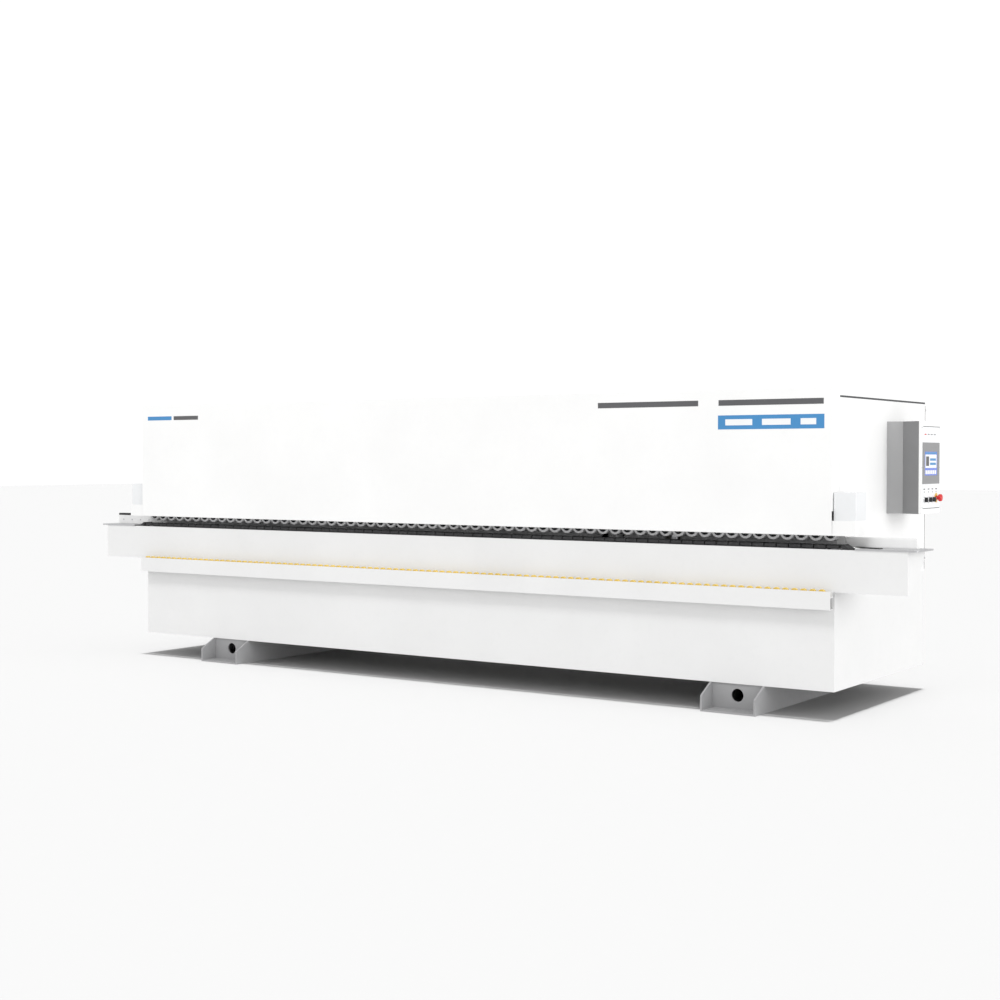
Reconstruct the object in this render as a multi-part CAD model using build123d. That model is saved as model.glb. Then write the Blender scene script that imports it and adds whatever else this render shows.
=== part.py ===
"""Edge banding machine: a long through-feed machine that glues and trims tape on board edges.

Frame: +X runs along the machine towards the infeed end, +Y to the rear, +Z up.
The origin is on the floor under the middle of the machine.  All sizes are millimetres.
"""
import math
import os

from build123d import *

os.makedirs("parts", exist_ok=True)

# ---- Overall sizes -----------------------------------------------------------------------
body_length = 5000.0         # base and hood
body_depth = 1344.0          # base, front face to rear face
base_bottom = 145.0          # underside of the base above the floor
base_top = 690.0             # top deck of the base
hood_top = 1654.0            # top edge of the end walls
sheet = 3.0                  # folded sheet covers
fit_gap = 0.05               # radial gap of a shaft in its bore
cover_gap = 2.0              # gap between neighbouring covers

half = body_length / 2
front = -body_depth / 2
rear = body_depth / 2

# ---- Base and feet -----------------------------------------------------------------------
base_wall = 8.0
deck_thickness = 15.0
bulkheads_x = (-1440.0, 0.0, 1440.0)
cable_hole_radius = 110.0
foot_right_x = half - 544.0
foot_left_x = 782.0 - half
foot_width = 318.0
foot_overhang = 114.0        # foot beyond the base, front and rear
foot_plate = 10.0
foot_flange = 85.0           # height of the flange at the foot's end
lift_hole_radius = 35.0
lift_hole_z = 83.0
lift_hole_inset = 8.0        # drilled plate behind the base's front face

# ---- Track: chain pads on a bed -----------------------------------------------------------
pad_pitch = 69.1
pad_count = int((body_length + 50.0) / pad_pitch)
pad_gap = 6.0
pad_depth = 80.0
pad_thickness = 18.5
pad_bottom = 880.0
carrier_depth = 22.0
carrier_height = 16.0
pitch_radius = 6 * pad_pitch / (2 * math.pi)
chain_drop = 4.0             # pad underside above the chain's pitch line
sprocket_width = 20.0
track_shaft_radius = 15.0
bed_wall = 8.0
bed_top = 878.0
skirt_length = body_length + 774.0
skirt_bottom = base_top - 33.0
skirt_top = 875.5
skirt_standoff = 12.0        # skirt front ahead of the base front
table_start = half + 113.0
table_end = half + 440.0
table_depth = 238.0
table_thickness = 8.0

# ---- Hood ---------------------------------------------------------------------------------
wall_flange = 45.0           # width of the folded edge round each end wall
wall_front = front + 61.0
slot_front = front + 140.0   # front edge of the end walls beside the board path
slot_top = 1080.0
door_front = front - 45.0
door_top = hood_top + 51.0
door_bottom = 948.5
door_sheet = 2.0
roof_height = 10.0
hinge_pin_radius = 5.0
hinge_count = 6
window_width = 220.0
window_bottom = 886.0
window_top = 1010.0

# ---- Pressure beam ------------------------------------------------------------------------
beam_overhang = 123.0        # beam beyond the hood at each end
beam_bottom = 947.5
beam_height = 76.0
beam_door_gap = 4.0
beam_depth = 135.0
wheel_radius = 39.5
wheel_gap = 0.4
wheel_width = 50.0
wheel_front = front + 30.0
wheel_bottom = 916.0
wheel_span = body_length - 75.0  # first wheel centre to last
wheel_count = int(wheel_span / (2 * wheel_radius + wheel_gap)) + 1
axle_radius = 8.0
end_box_height = 143.0
end_box_setback = 18.0
lift_post_x = half - 120.0
lift_screw_x = half - 210.0
lift_post_radius = 20.0
lift_screw_radius = 15.0
lift_y = -640.0
lift_shaft_radius = 12.0
lift_shaft_z = hood_top - 26.0

# ---- Board support beam -------------------------------------------------------------------
support_front = front - 59.5
support_bottom = base_top - 121.0
support_height = 94.5
support_depth = 43.5
support_wall = 4.0
roller_pitch = 50.0
roller_count = int(body_length / roller_pitch) - 1
roller_radius = 17.5
roller_width = 20.0
roller_proud = 10.0
rod_radius = 20.0
rod_length = 780.0
rods_x = (-2100.0, -700.0, 700.0, 2100.0)
rod_z = base_top - 78.0

# ---- Control console ----------------------------------------------------------------------
console_front = 43.0
console_width = 300.0
console_bottom = 1039.0
console_height = 503.0
bracket_reach = 80.0
bracket_front = 59.0
crease_front = 89.0
housing_end = 185.0
bezel_thickness = 15.0
panel_margin = 15.0
panel_thickness = 3.0
panel_bottom = 1067.0
panel_height = 448.0
screen_width = 200.0
screen_height = 130.0
screen_z = 1312.0
screen_inset = 31.0
selectors_y = (81.0, 150.0, 212.0)
selector_z = 1116.0
stop_y = 274.0
stop_z = 1124.0
stop_travel = 6.0
control_radius = 11.0

# ---- Rear ---------------------------------------------------------------------------------
rear_opening_bottom = 780.0
rear_opening_top = hood_top - 54.0
rear_opening_start = 60.0
rear_opening_end = half - 100.0
rear_door_thickness = 6.0
rear_door_overlap = 20.0
cabinet_door_width = 900.0
cabinet_door_height = base_top - base_bottom - 105.0
cabinet_door_x = half - 530.0
cabinet_door_z = (base_bottom + base_top) / 2 + 2.5

# ---- Working units, from infeed to outfeed -------------------------------------------------
bed_beam_front = -390.0
bed_beam_depth = 420.0
bed_beam_top = 850.0
glue_x = 1500.0
press_x = 1120.0
end_trim_x = 420.0
trim_x = -480.0
buff_x = -1560.0
board_z = pad_bottom + pad_thickness
reel_radius = 330.0
reel_x = 1850.0
reel_y = 180.0
duct_y = 520.0
duct_z = hood_top - 154.0
duct_start = 200.0 - half
duct_end = 900.0
outlets_x = (-1000.0, 700.0)
outlet_radius = 75.0
outlet_height = 40.0


# ---- Helpers ------------------------------------------------------------------------------
def block(x, y, z):
    """A box between the two values of each pair."""
    size = Box(x[1] - x[0], y[1] - y[0], z[1] - z[0])
    return Pos((x[0] + x[1]) / 2, (y[0] + y[1]) / 2, (z[0] + z[1]) / 2) * size


def rod_x(radius, x, y, z):
    """A round bar along X from x[0] to x[1]."""
    bar = Rotation(0, 90, 0) * Cylinder(radius, x[1] - x[0])
    return Pos((x[0] + x[1]) / 2, y, z) * bar


def rod_y(radius, x, y, z):
    """A round bar along Y from y[0] to y[1]."""
    bar = Rotation(90, 0, 0) * Cylinder(radius, y[1] - y[0])
    return Pos(x, (y[0] + y[1]) / 2, z) * bar


def rod_z_axis(radius, x, y, z):
    """A round bar along Z from z[0] to z[1]."""
    return Pos(x, y, (z[0] + z[1]) / 2) * Cylinder(radius, z[1] - z[0])


def plate_x(points, x):
    """A plate with its outline in Y and Z, from x[0] to x[1]."""
    outline = make_face(Polyline([(0, y, z) for y, z in points], close=True))
    return Pos(x[0], 0, 0) * extrude(outline, amount=x[1] - x[0], dir=(1, 0, 0))


def plate_z(points, z):
    """A plate with its outline in X and Y, from z[0] to z[1]."""
    outline = make_face(Polyline([(x, y, 0) for x, y in points], close=True))
    return Pos(0, 0, z[0]) * extrude(outline, amount=z[1] - z[0], dir=(0, 0, 1))


def mirrored(shape):
    """The same piece at the other end of the machine."""
    return mirror(shape, Plane.YZ)


def save(name, *solids):
    """Write one node; several solids make a group of separate pieces."""
    shape = solids[0] if len(solids) == 1 else Compound(children=list(solids))
    export_step(shape, f"parts/{name}.step")


# ---- Base ---------------------------------------------------------------------------------
def base_frame():
    """Welded base: plates round four bays, with a doorway in the rear and holes in the bulkheads."""
    shell = block((-half, half), (front, rear), (base_bottom, base_top))
    edges = [-half + base_wall]
    for x in bulkheads_x:
        edges += [x - base_wall / 2, x + base_wall / 2]
    edges.append(half - base_wall)
    bay_z = (base_bottom + foot_plate, base_top - deck_thickness)
    for start, end in zip(edges[::2], edges[1::2]):
        shell -= block((start, end), (front + base_wall, rear - base_wall), bay_z)
    for x in rods_x:
        shell -= rod_y(rod_radius + fit_gap, x, (front - 1, front + base_wall + 1), rod_z)
    door_half = cabinet_door_width / 2 - 20
    door_rise = cabinet_door_height / 2 - 20
    shell -= block(
        (cabinet_door_x - door_half, cabinet_door_x + door_half),
        (rear - base_wall - 1, rear + 1),
        (cabinet_door_z - door_rise, cabinet_door_z + door_rise),
    )
    for x in bulkheads_x:
        for y in (-330.0, 330.0):
            shell -= rod_x(cable_hole_radius, (x - base_wall, x + base_wall), y, cabinet_door_z)
    return shell


def foot(x):
    """Open channel under the base, with a drilled lifting plate near each end."""
    end_y = front - foot_overhang
    side = [
        (end_y, 0), (-end_y, 0), (-end_y, foot_flange), (rear, base_bottom), (front, base_bottom),
        (end_y, foot_flange),
    ]
    left, right = x - foot_width / 2, x + foot_width / 2
    channel = block((left, right), (end_y, -end_y), (0, foot_plate))
    channel += plate_x(side, (left, left + foot_plate))
    channel += plate_x(side, (right - foot_plate, right))
    for sign in (-1, 1):
        plate_front = sign * (rear - lift_hole_inset)
        span = sorted((plate_front, plate_front - sign * foot_plate))
        channel += block((left, right), span, (0, base_bottom))
        channel -= rod_y(lift_hole_radius, x, (span[0] - 1, span[1] + 1), lift_hole_z)
    return channel


# ---- Track --------------------------------------------------------------------------------
pad_front = front
pad_mid = pad_front + pad_depth / 2
track_radius = pitch_radius + chain_drop
track_axis_z = pad_bottom - track_radius
track_half = pad_count * pad_pitch / 2
pad_length = pad_pitch - pad_gap
bed_half = track_half - 82.0
bed_rear = slot_front
bearing_plate = 18.0


def pad(x, z_base, up):
    """One chain pad with the carrier that rides on the chain; up is 1 on the upper run."""
    z = sorted((z_base, z_base + up * pad_thickness))
    top = block((x - pad_length / 2, x + pad_length / 2), (pad_front, pad_front + pad_depth), z)
    z = sorted((z_base, z_base - up * carrier_height))
    carrier_half = pad_length / 2 - 10
    y = (pad_mid - carrier_depth / 2, pad_mid + carrier_depth / 2)
    return top + block((x - carrier_half, x + carrier_half), y, z)


def track_run(up):
    """Every pad of the upper run or of the run that comes back below it."""
    z_base = track_axis_z + up * track_radius
    first = -track_half + pad_pitch / 2
    return [pad(first + i * pad_pitch, z_base, up) for i in range(pad_count)]


def sprocket(x, side):
    """Sprocket on its shaft, with the three pads that are going round it."""
    width = (pad_mid - sprocket_width / 2, pad_mid + sprocket_width / 2)
    wheel = rod_y(pitch_radius - 14, x, width, track_axis_z)
    shaft_end = bed_rear - 4 if side > 0 else bed_rear + 60
    wheel += rod_y(track_shaft_radius, x, (pad_front + 6, shaft_end), track_axis_z)
    for angle in (30.0, 90.0, 150.0):
        piece = pad(0, track_radius, 1)
        piece += block((-8, 8), (pad_mid - 8, pad_mid + 8), (pitch_radius - 30, track_radius))
        turned = Rotation(0, side * angle, 0) * piece
        wheel += Pos(x, 0, track_axis_z) * turned
    return wheel


def track_bed():
    """Box beam between the two runs of pads, hung from a rear plate that carries the shafts."""
    bed_bottom = track_axis_z - 46
    plate_front = bed_rear - bearing_plate
    beam = block((-bed_half, bed_half), (front + 6, bed_rear), (bed_bottom, bed_top))
    through = (-bed_half - 1, bed_half + 1)
    inner_z = (bed_bottom + bed_wall, bed_top - bed_wall)
    beam -= block(through, (front + 6 + bed_wall, plate_front), inner_z)
    groove = carrier_depth / 2 + 3
    beam -= block(through, (pad_mid - groove, pad_mid + groove), (inner_z[1] - 1, bed_top + 1))
    plate_half = table_start + 6
    beam += block((-plate_half, plate_half), (plate_front, bed_rear), (base_top, inner_z[1]))
    beam += block((-half, half), (plate_front, bed_rear + 60), (base_top, base_top + 12))
    for side in (-1, 1):
        bore_y = (bed_rear - bearing_plate - 1, bed_rear + 1)
        beam -= rod_y(track_shaft_radius + fit_gap, side * track_half, bore_y, track_axis_z)
    return beam


def track_skirt():
    """Front cover of the track, with brackets at its ends for the table plates."""
    y = front - skirt_standoff
    end = skirt_length / 2
    lip = 9.0
    skirt = block((-end, end), (y, y + sheet), (skirt_bottom, skirt_top))
    skirt += block((-end, end), (y, y + lip), (skirt_top - sheet, skirt_top))
    skirt += block((-end, end), (y, y + lip), (skirt_bottom, skirt_bottom + sheet))
    back = y + table_depth
    outline = [
        (y, skirt_bottom), (y + 40, skirt_bottom), (back, skirt_top - 60),
        (back, skirt_top), (y, skirt_top),
    ]
    for start in (end - sheet, table_start + 6):
        bracket = plate_x(outline, (start, start + sheet))
        skirt += bracket + mirrored(bracket)
    return skirt


def table_plate():
    """Flat steel plate at the infeed end, flush with the tops of the covers."""
    y = (front - skirt_standoff - 4, front - skirt_standoff - 4 + table_depth)
    plate = block((table_start, table_end), y, (skirt_top, skirt_top + table_thickness))
    edge = plate.edges().filter_by(Axis.Z).sort_by(Axis.X)[-2:]
    return fillet(edge, 12.0)


def track_motor():
    """Gearbox on the drive shaft and its motor, behind the track at the outfeed end."""
    z = (track_axis_z - 60, track_axis_z + 50)
    gearbox = block((-track_half - 70, -track_half + 70), (bed_rear, bed_rear + 110), z)
    bore_y = (bed_rear - 1, bed_rear + 62)
    gearbox -= rod_y(track_shaft_radius + fit_gap, -track_half, bore_y, track_axis_z)
    y_mid = bed_rear + 65
    motor = rod_x(50, (-track_half + 70, -track_half + 340), y_mid, track_axis_z - 5)
    box_x = (-track_half + 140, -track_half + 240)
    box = block(box_x, (y_mid - 40, y_mid + 40), (track_axis_z + 30, track_axis_z + 58))
    return gearbox + motor + box


# ---- Hood ---------------------------------------------------------------------------------
def end_wall():
    """Folded end wall with a flange all round, stepped back beside the board path."""
    notch_top = bed_top - 10
    notch_back = slot_front + 132.0
    outline = [
        (notch_back, base_top), (rear, base_top), (rear, hood_top), (wall_front, hood_top),
        (wall_front, slot_top), (slot_front, slot_top), (slot_front, notch_top), (notch_back, notch_top),
    ]
    solid = plate_x(outline, (half - wall_flange, half))
    inner = offset(make_face(Polyline([(0, y, z) for y, z in outline], close=True)), -sheet)
    hollow = extrude(inner, amount=wall_flange - sheet + 1, dir=(1, 0, 0))
    return solid - Pos(half - wall_flange - 1, 0, 0) * hollow


def roof_panel():
    """Folded roof on the end walls, with a collar for each dust hose."""
    roof = block((-half, half), (wall_front, rear), (hood_top, hood_top + roof_height))
    y = (wall_front + sheet, rear - sheet)
    roof -= block((-half + sheet, half - sheet), y, (hood_top - 1, hood_top + roof_height - sheet))
    outlet_z = (hood_top + roof_height, hood_top + roof_height + outlet_height)
    for x in outlets_x:
        roof += rod_z_axis(outlet_radius, x, duct_y, outlet_z)
        roof -= rod_z_axis(outlet_radius - 2, x, duct_y, (hood_top, outlet_z[1] + 1))
    return roof


def tool_wall():
    """Dark guard wall behind the wheels, with a window in front of each working unit."""
    wall_end = half - wall_flange
    wall = block((-wall_end, wall_end), (slot_front, slot_front + sheet), (bed_top, hood_top - 94))
    wall += block((-wall_end, wall_end), (slot_front, slot_front + 30), (hood_top - 94, hood_top - 91))
    for x in (glue_x, press_x, end_trim_x, trim_x, buff_x):
        window = (x - window_width / 2, x + window_width / 2)
        wall -= block(window, (slot_front - 1, slot_front + sheet + 1), (window_bottom, window_top))
    return wall


hinge_y = wall_front + 21.0
hinge_z = hood_top + roof_height + 20.0
hinges_x = [(i - (hinge_count - 1) / 2) * 940.0 for i in range(hinge_count)]


def hood_door():
    """Long front cover: front sheet, top, rear lip, two end lips above the beam, and hinge ears."""
    inner = door_front + door_sheet
    lip_front = wall_front - door_sheet
    below_top = door_top - door_sheet
    sheets = [
        block((-half, half), (door_front, inner), (door_bottom, door_top)),
        block((-half, half), (inner, wall_front), (below_top, door_top)),
        block((-half, half), (lip_front, wall_front), (hood_top + roof_height + 4, below_top)),
    ]
    end_lip = block((half - door_sheet, half), (inner, lip_front), (slot_top - 8, below_top))
    return sheets + [end_lip, mirrored(end_lip)] + [door_ear(x) for x in hinges_x]


def door_ear(x):
    """Ear on the rear lip of the front cover, bored for its hinge pin."""
    ear = block((x - 14, x + 14), (wall_front, hinge_y), (hinge_z - 11, hinge_z + 11))
    ear += rod_x(11, (x - 14, x + 14), hinge_y, hinge_z)
    return ear - rod_x(hinge_pin_radius + fit_gap, (x - 15, x + 15), hinge_y, hinge_z)


def door_hinge(x):
    """Fixed half of one hinge on the roof: foot, two ears and the pin."""
    foot_plate_z = hood_top + roof_height
    hinge = block((x - 30, x + 30), (hinge_y - 8, hinge_y + 40), (foot_plate_z, foot_plate_z + 4))
    for side in (-1, 1):
        inner, outer = x + side * 15, x + side * 22
        span = (min(inner, outer), max(inner, outer))
        hinge += block(span, (hinge_y - 8, hinge_y + 8), (foot_plate_z, hinge_z))
        hinge += rod_x(8, span, hinge_y, hinge_z)
    return hinge + rod_x(hinge_pin_radius, (x - 22, x + 22), hinge_y, hinge_z)


# ---- Pressure beam ------------------------------------------------------------------------
beam_front = door_front + door_sheet + beam_door_gap
beam_rear = beam_front + beam_depth
beam_top = beam_bottom + beam_height
beam_half = half + beam_overhang
wheel_z = wheel_bottom + wheel_radius
wheel_pitch = wheel_span / (wheel_count - 1)
wheels_x = [wheel_span / 2 - i * wheel_pitch for i in range(wheel_count)]
wheel_rear = wheel_front + wheel_width
rear_web = wheel_rear + 4.0


def pressure_beam():
    """Inverted channel over the wheels; its rear web carries their axles."""
    beam = block((-beam_half, beam_half), (beam_front, beam_rear), (beam_bottom, beam_top))
    inner = (beam_front + 6, rear_web)
    beam -= block((-beam_half + 4, beam_half - 4), inner, (beam_bottom - 1, beam_top - 8))
    for x in wheels_x:
        beam -= rod_y(axle_radius + fit_gap, x, (rear_web - 1, beam_rear + 1), wheel_z)
    return beam


def beam_end_box():
    """Closed cover on the end of the beam, over its lifting gear."""
    y = (door_front + end_box_setback, beam_rear + 16)
    x = (half + 4, beam_half - 1)
    box_top = beam_top + end_box_height
    outer = block(x, y, (beam_top, box_top))
    inner_x, inner_y = (x[0] + sheet, x[1] - sheet), (y[0] + sheet, y[1] - sheet)
    inner = block(inner_x, inner_y, (beam_top - 1, box_top - sheet))
    return fillet(outer.edges().filter_by(Axis.Z), 2.0) - inner


def pressure_wheel(x):
    """Rubber-tyred wheel that turns on its axle."""
    wheel = rod_y(wheel_radius, x, (wheel_front, wheel_rear), wheel_z)
    return wheel - rod_y(axle_radius + fit_gap, x, (wheel_front - 1, wheel_rear + 1), wheel_z)


def wheel_axle(x):
    """Shoulder bolt with its head in front of the wheel and a nut behind the web."""
    axle = rod_y(axle_radius, x, (wheel_front - 1, beam_rear + 10), wheel_z)
    head = rod_y(axle_radius + 5, x, (wheel_front - 9, wheel_front - 1), wheel_z)
    nut = rod_y(axle_radius + 5, x, (beam_rear, beam_rear + 8), wheel_z)
    return axle + head + nut


carriage_bottom, carriage_top = 1200.0, 1360.0
post_bottom, post_top = 1100.0, hood_top - 98.0


def lift_carriage():
    """Block that slides on the post and is driven by the screw, on a leg from the beam."""
    x = (lift_screw_x - 35, lift_post_x + 45)
    body = block(x, (lift_y - 40, lift_y + 40), (carriage_bottom, carriage_top))
    body += block(x, (lift_y - 62, lift_y - 40), (beam_top, carriage_top))
    z = (carriage_bottom - 1, carriage_top + 1)
    body -= rod_z_axis(lift_post_radius + fit_gap, lift_post_x, lift_y, z)
    return body - rod_z_axis(lift_screw_radius + fit_gap, lift_screw_x, lift_y, z)


def lift_column():
    """Guide post between two brackets on the guard wall, with the screw's bearing and gearbox."""
    x = (lift_screw_x - 35, lift_post_x + 45)
    y = (lift_y - 32, slot_front)
    column = rod_z_axis(lift_post_radius, lift_post_x, lift_y, (post_bottom, post_top))
    for z in ((post_bottom, post_bottom + 18), (post_top - 18, post_top)):
        bracket = block(x, y, z)
        bracket -= rod_z_axis(lift_screw_radius + fit_gap, lift_screw_x, lift_y, (z[0] - 1, z[1] + 1))
        column += bracket
    gear_x = (lift_screw_x - 40, lift_screw_x + 40)
    gear_z = (lift_shaft_z - 25, lift_shaft_z + 25)
    column += block(gear_x, (lift_y - 30, lift_y - 24), (post_top, gear_z[1]))
    gearbox = block(gear_x, (lift_y - 30, lift_y + 30), gear_z)
    bore_x = (gear_x[0] - 1, gear_x[1] + 1)
    gearbox -= rod_x(lift_shaft_radius + fit_gap, bore_x, lift_y, lift_shaft_z)
    return column + gearbox


def lift_screw():
    """Lifting screw with a collar that rests on the upper bracket."""
    screw = rod_z_axis(lift_screw_radius, lift_screw_x, lift_y, (post_bottom - 2, lift_shaft_z - 27))
    collar_z = (post_top + 0.4, post_top + 16)
    return screw + rod_z_axis(lift_screw_radius + 8, lift_screw_x, lift_y, collar_z)


def lift_shaft():
    """Cross shaft that turns both screws together, with its handwheel boss in the middle."""
    end = lift_screw_x + 60
    shaft = rod_x(lift_shaft_radius, (-end, end), lift_y, lift_shaft_z)
    return shaft + rod_x(28, (-30, 30), lift_y, lift_shaft_z)


# ---- Board support beam -------------------------------------------------------------------
support_top = support_bottom + support_height
roller_z = support_top + roller_proud - roller_radius
roller_front = support_front + support_wall + 1.0


def support_beam():
    """Open-ended profile with a channel for the rollers along its front top edge."""
    y = (support_front, support_front + support_depth)
    profile = block((-half, half), y, (support_bottom, support_top))
    divider = roller_front + roller_width + 1.0
    channel_floor = roller_z - roller_radius - 4
    through = (-half - 1, half + 1)
    profile -= block(through, (y[0] + support_wall, divider), (channel_floor, support_top + 1))
    lower = (support_bottom + support_wall, channel_floor - support_wall)
    profile -= block(through, (y[0] + support_wall, y[1] - support_wall), lower)
    upper = (channel_floor, support_top - support_wall)
    return profile - block(through, (divider + support_wall, y[1] - support_wall), upper)


def support_roller(x):
    """Small roller on the support beam."""
    return rod_y(roller_radius, x, (roller_front, roller_front + roller_width), roller_z)


def support_rod(x):
    """Guide rod fixed to the back of the support beam, sliding in the base's front plate."""
    start = support_front + support_depth
    return rod_y(rod_radius, x, (start, start + rod_length), rod_z)


# ---- Guides at the two ends -----------------------------------------------------------------
table_top = skirt_top + table_thickness
guide_y = (slot_front, slot_front + 40)
guide_foot_y = (guide_y[0] + 4, guide_y[1] - 4)
shim = 0.5                   # foot under each guide


def infeed_fence():
    """Straight guide in line with the guard wall, on the infeed table."""
    fence = block((half + 6, table_end - 60), guide_y, (table_top + shim, table_top + 52))
    return fence + block((table_start + 30, table_end - 90), guide_foot_y, (table_top, table_top + shim))


def outfeed_guide():
    """Guide bar at the outfeed end."""
    bar = block((-table_end, -half - 6), guide_y, (table_top + shim, table_top + 57))
    return bar + block((-table_end + 30, -table_start - 30), guide_foot_y, (table_top, table_top + shim))


# ---- Console ------------------------------------------------------------------------------
console_top = console_bottom + console_height
console_back = console_front + console_width
bezel_x = (half + housing_end, half + housing_end + bezel_thickness)
panel_face = bezel_x[1] + panel_thickness


def console_bracket():
    """Folded mounting box between the end wall and the housing."""
    z = (console_bottom, console_top)
    reach = half + bracket_reach
    outline = [(half, bracket_front), (reach, crease_front), (reach, console_back), (half, console_back)]
    box = plate_z(outline, z)
    core = [
        (half - 1, bracket_front + sheet), (reach - sheet, crease_front + sheet),
        (reach - sheet, console_back - sheet), (half - 1, console_back - sheet),
    ]
    return box - plate_z(core, (z[0] + sheet, z[1] - sheet))


def console_housing():
    """Tapered housing, open towards the panel."""
    z = (console_bottom, console_top)
    near, far = half + bracket_reach, half + housing_end
    outline = [(near, crease_front), (far, console_front), (far, console_back), (near, console_back)]
    box = plate_z(outline, z)
    core = [
        (near + sheet, crease_front + 2), (far + 1, console_front + sheet),
        (far + 1, console_back - sheet), (near + sheet, console_back - sheet),
    ]
    return box - plate_z(core, (z[0] + sheet, z[1] - sheet))


def console_bezel():
    """White frame round the operating panel."""
    bezel = block(bezel_x, (console_front, console_back), (console_bottom, console_top))
    bezel = fillet(bezel.edges().filter_by(Axis.X), 6.0)
    for y, z in controls:
        bezel -= rod_x(control_radius + fit_gap, (bezel_x[0] - 1, bezel_x[1] + 1), y, z)
    return bezel


controls = [(y, selector_z) for y in selectors_y] + [(stop_y, stop_z)]


def console_panel():
    """Operating panel with a recess for the screen and a bore for each control."""
    y = (console_front + panel_margin, console_back - panel_margin)
    panel = block((bezel_x[1], panel_face), y, (panel_bottom, panel_bottom + panel_height))
    screen_y = y[0] + screen_inset
    panel -= block((bezel_x[1] - 1, panel_face + 1), (screen_y, screen_y + screen_width),
                   (screen_z - screen_height / 2, screen_z + screen_height / 2))
    for y_hole, z_hole in controls:
        panel -= rod_x(control_radius + fit_gap, (bezel_x[1] - 1, panel_face + 1), y_hole, z_hole)
    return panel


def console_screen():
    """Touch screen set in the panel."""
    y = console_front + panel_margin + screen_inset
    return block((bezel_x[1], panel_face - 0.6), (y, y + screen_width),
                 (screen_z - screen_height / 2, screen_z + screen_height / 2))


def selector(y):
    """Rotary selector: round boss with a raised grip."""
    boss = rod_x(control_radius, (bezel_x[0] + 2, panel_face + 8), y, selector_z)
    skirt = rod_x(16, (panel_face + 0.4, panel_face + 8), y, selector_z)
    grip = block((panel_face + 8, panel_face + 22), (y - 4, y + 4), (selector_z - 15, selector_z + 15))
    round_off = 1.5
    skirt = fillet(skirt.edges().group_by(Axis.X)[-1], round_off)
    return boss + skirt + fillet(grip.edges().group_by(Axis.X)[-1], round_off)


def emergency_stop():
    """Mushroom push button."""
    stem = rod_x(control_radius, (bezel_x[0] + stop_travel + 2, panel_face + 22), stop_y, stop_z)
    head = rod_x(20, (panel_face + 16, panel_face + 34), stop_y, stop_z)
    return stem + fillet(head.edges().group_by(Axis.X)[-1], 7.0)


# ---- Rear ---------------------------------------------------------------------------------
def rear_frame():
    """Rear wall between the end walls: a lower and an upper sheet and three posts round two openings."""
    inner = half - wall_flange
    y = (rear - sheet, rear)
    opening_z = (rear_opening_bottom, rear_opening_top)
    end_post = block((rear_opening_end, inner), y, opening_z)
    return [
        block((-inner, inner), y, (base_top, rear_opening_bottom)),
        block((-inner, inner), y, (rear_opening_top, hood_top)),
        block((-rear_opening_start, rear_opening_start), y, opening_z),
        end_post, mirrored(end_post),
    ]


def rear_rails():
    """Upper and lower rail of the sliding doors, with a stop at each end."""
    y = (rear, rear + 26)
    rails = []
    for z, lip in ((rear_opening_top + 26, -1), (rear_opening_bottom - 26, 1)):
        rail = block((-half, half), y, (z - 3, z + 3))
        for offset_y in (0.0, 11.5, 23.0):
            lip_z = sorted((z, z + lip * 12))
            rail += block((-half, half), (rear + offset_y, rear + offset_y + 3), lip_z)
        rails.append(rail)
    return rails


def rear_door(side, lane):
    """Sliding rear door with a grip hole; lane 0 runs next to the wall."""
    x = sorted((side * (rear_opening_start - rear_door_overlap - 60), side * (rear_opening_end + 40)))
    y = rear + 3 + lane * 11.5
    z = (rear_opening_bottom - rear_door_overlap, rear_opening_top + rear_door_overlap)
    door = block(x, (y + 1.5, y + 1.5 + rear_door_thickness), z)
    grip_x = side * (rear_opening_end - 60)
    slot_z = (rear_opening_bottom + rear_opening_top) / 2
    return door - block((grip_x - 15, grip_x + 15), (y, y + 9), (slot_z - 60, slot_z + 60))


cabinet_hinge_x = cabinet_door_x + cabinet_door_width / 2 + 12
cabinet_hinge_rise = cabinet_door_height / 2 - 80
cabinet_hinges_z = (cabinet_door_z - cabinet_hinge_rise, cabinet_door_z + cabinet_hinge_rise)
switch_x = cabinet_door_x - cabinet_door_width / 2 + 90


def cabinet_door():
    """Door of the electrical bay with two knuckles on its hinge side and a bore for the switch."""
    x = (cabinet_door_x - cabinet_door_width / 2, cabinet_door_x + cabinet_door_width / 2)
    z = (cabinet_door_z - cabinet_door_height / 2, cabinet_door_z + cabinet_door_height / 2)
    y = (rear + cover_gap, rear + cover_gap + 20)
    door = block(x, y, z)
    door -= block((x[0] + sheet, x[1] - sheet), (y[0] - 1, y[1] - sheet), (z[0] + sheet, z[1] - sheet))
    for knuckle_z in cabinet_hinges_z:
        ear_z = (knuckle_z - 14, knuckle_z + 14)
        door += block((x[1], cabinet_hinge_x), (y[1] - 12, y[1] - 4), ear_z)
        door += rod_z_axis(9, cabinet_hinge_x, y[1] - 8, ear_z)
        bore_z = (ear_z[0] - 1, ear_z[1] + 1)
        door -= rod_z_axis(hinge_pin_radius + fit_gap, cabinet_hinge_x, y[1] - 8, bore_z)
    return door - rod_y(12 + fit_gap, switch_x, (y[0] - 1, y[1] + 1), cabinet_door_z)


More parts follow.
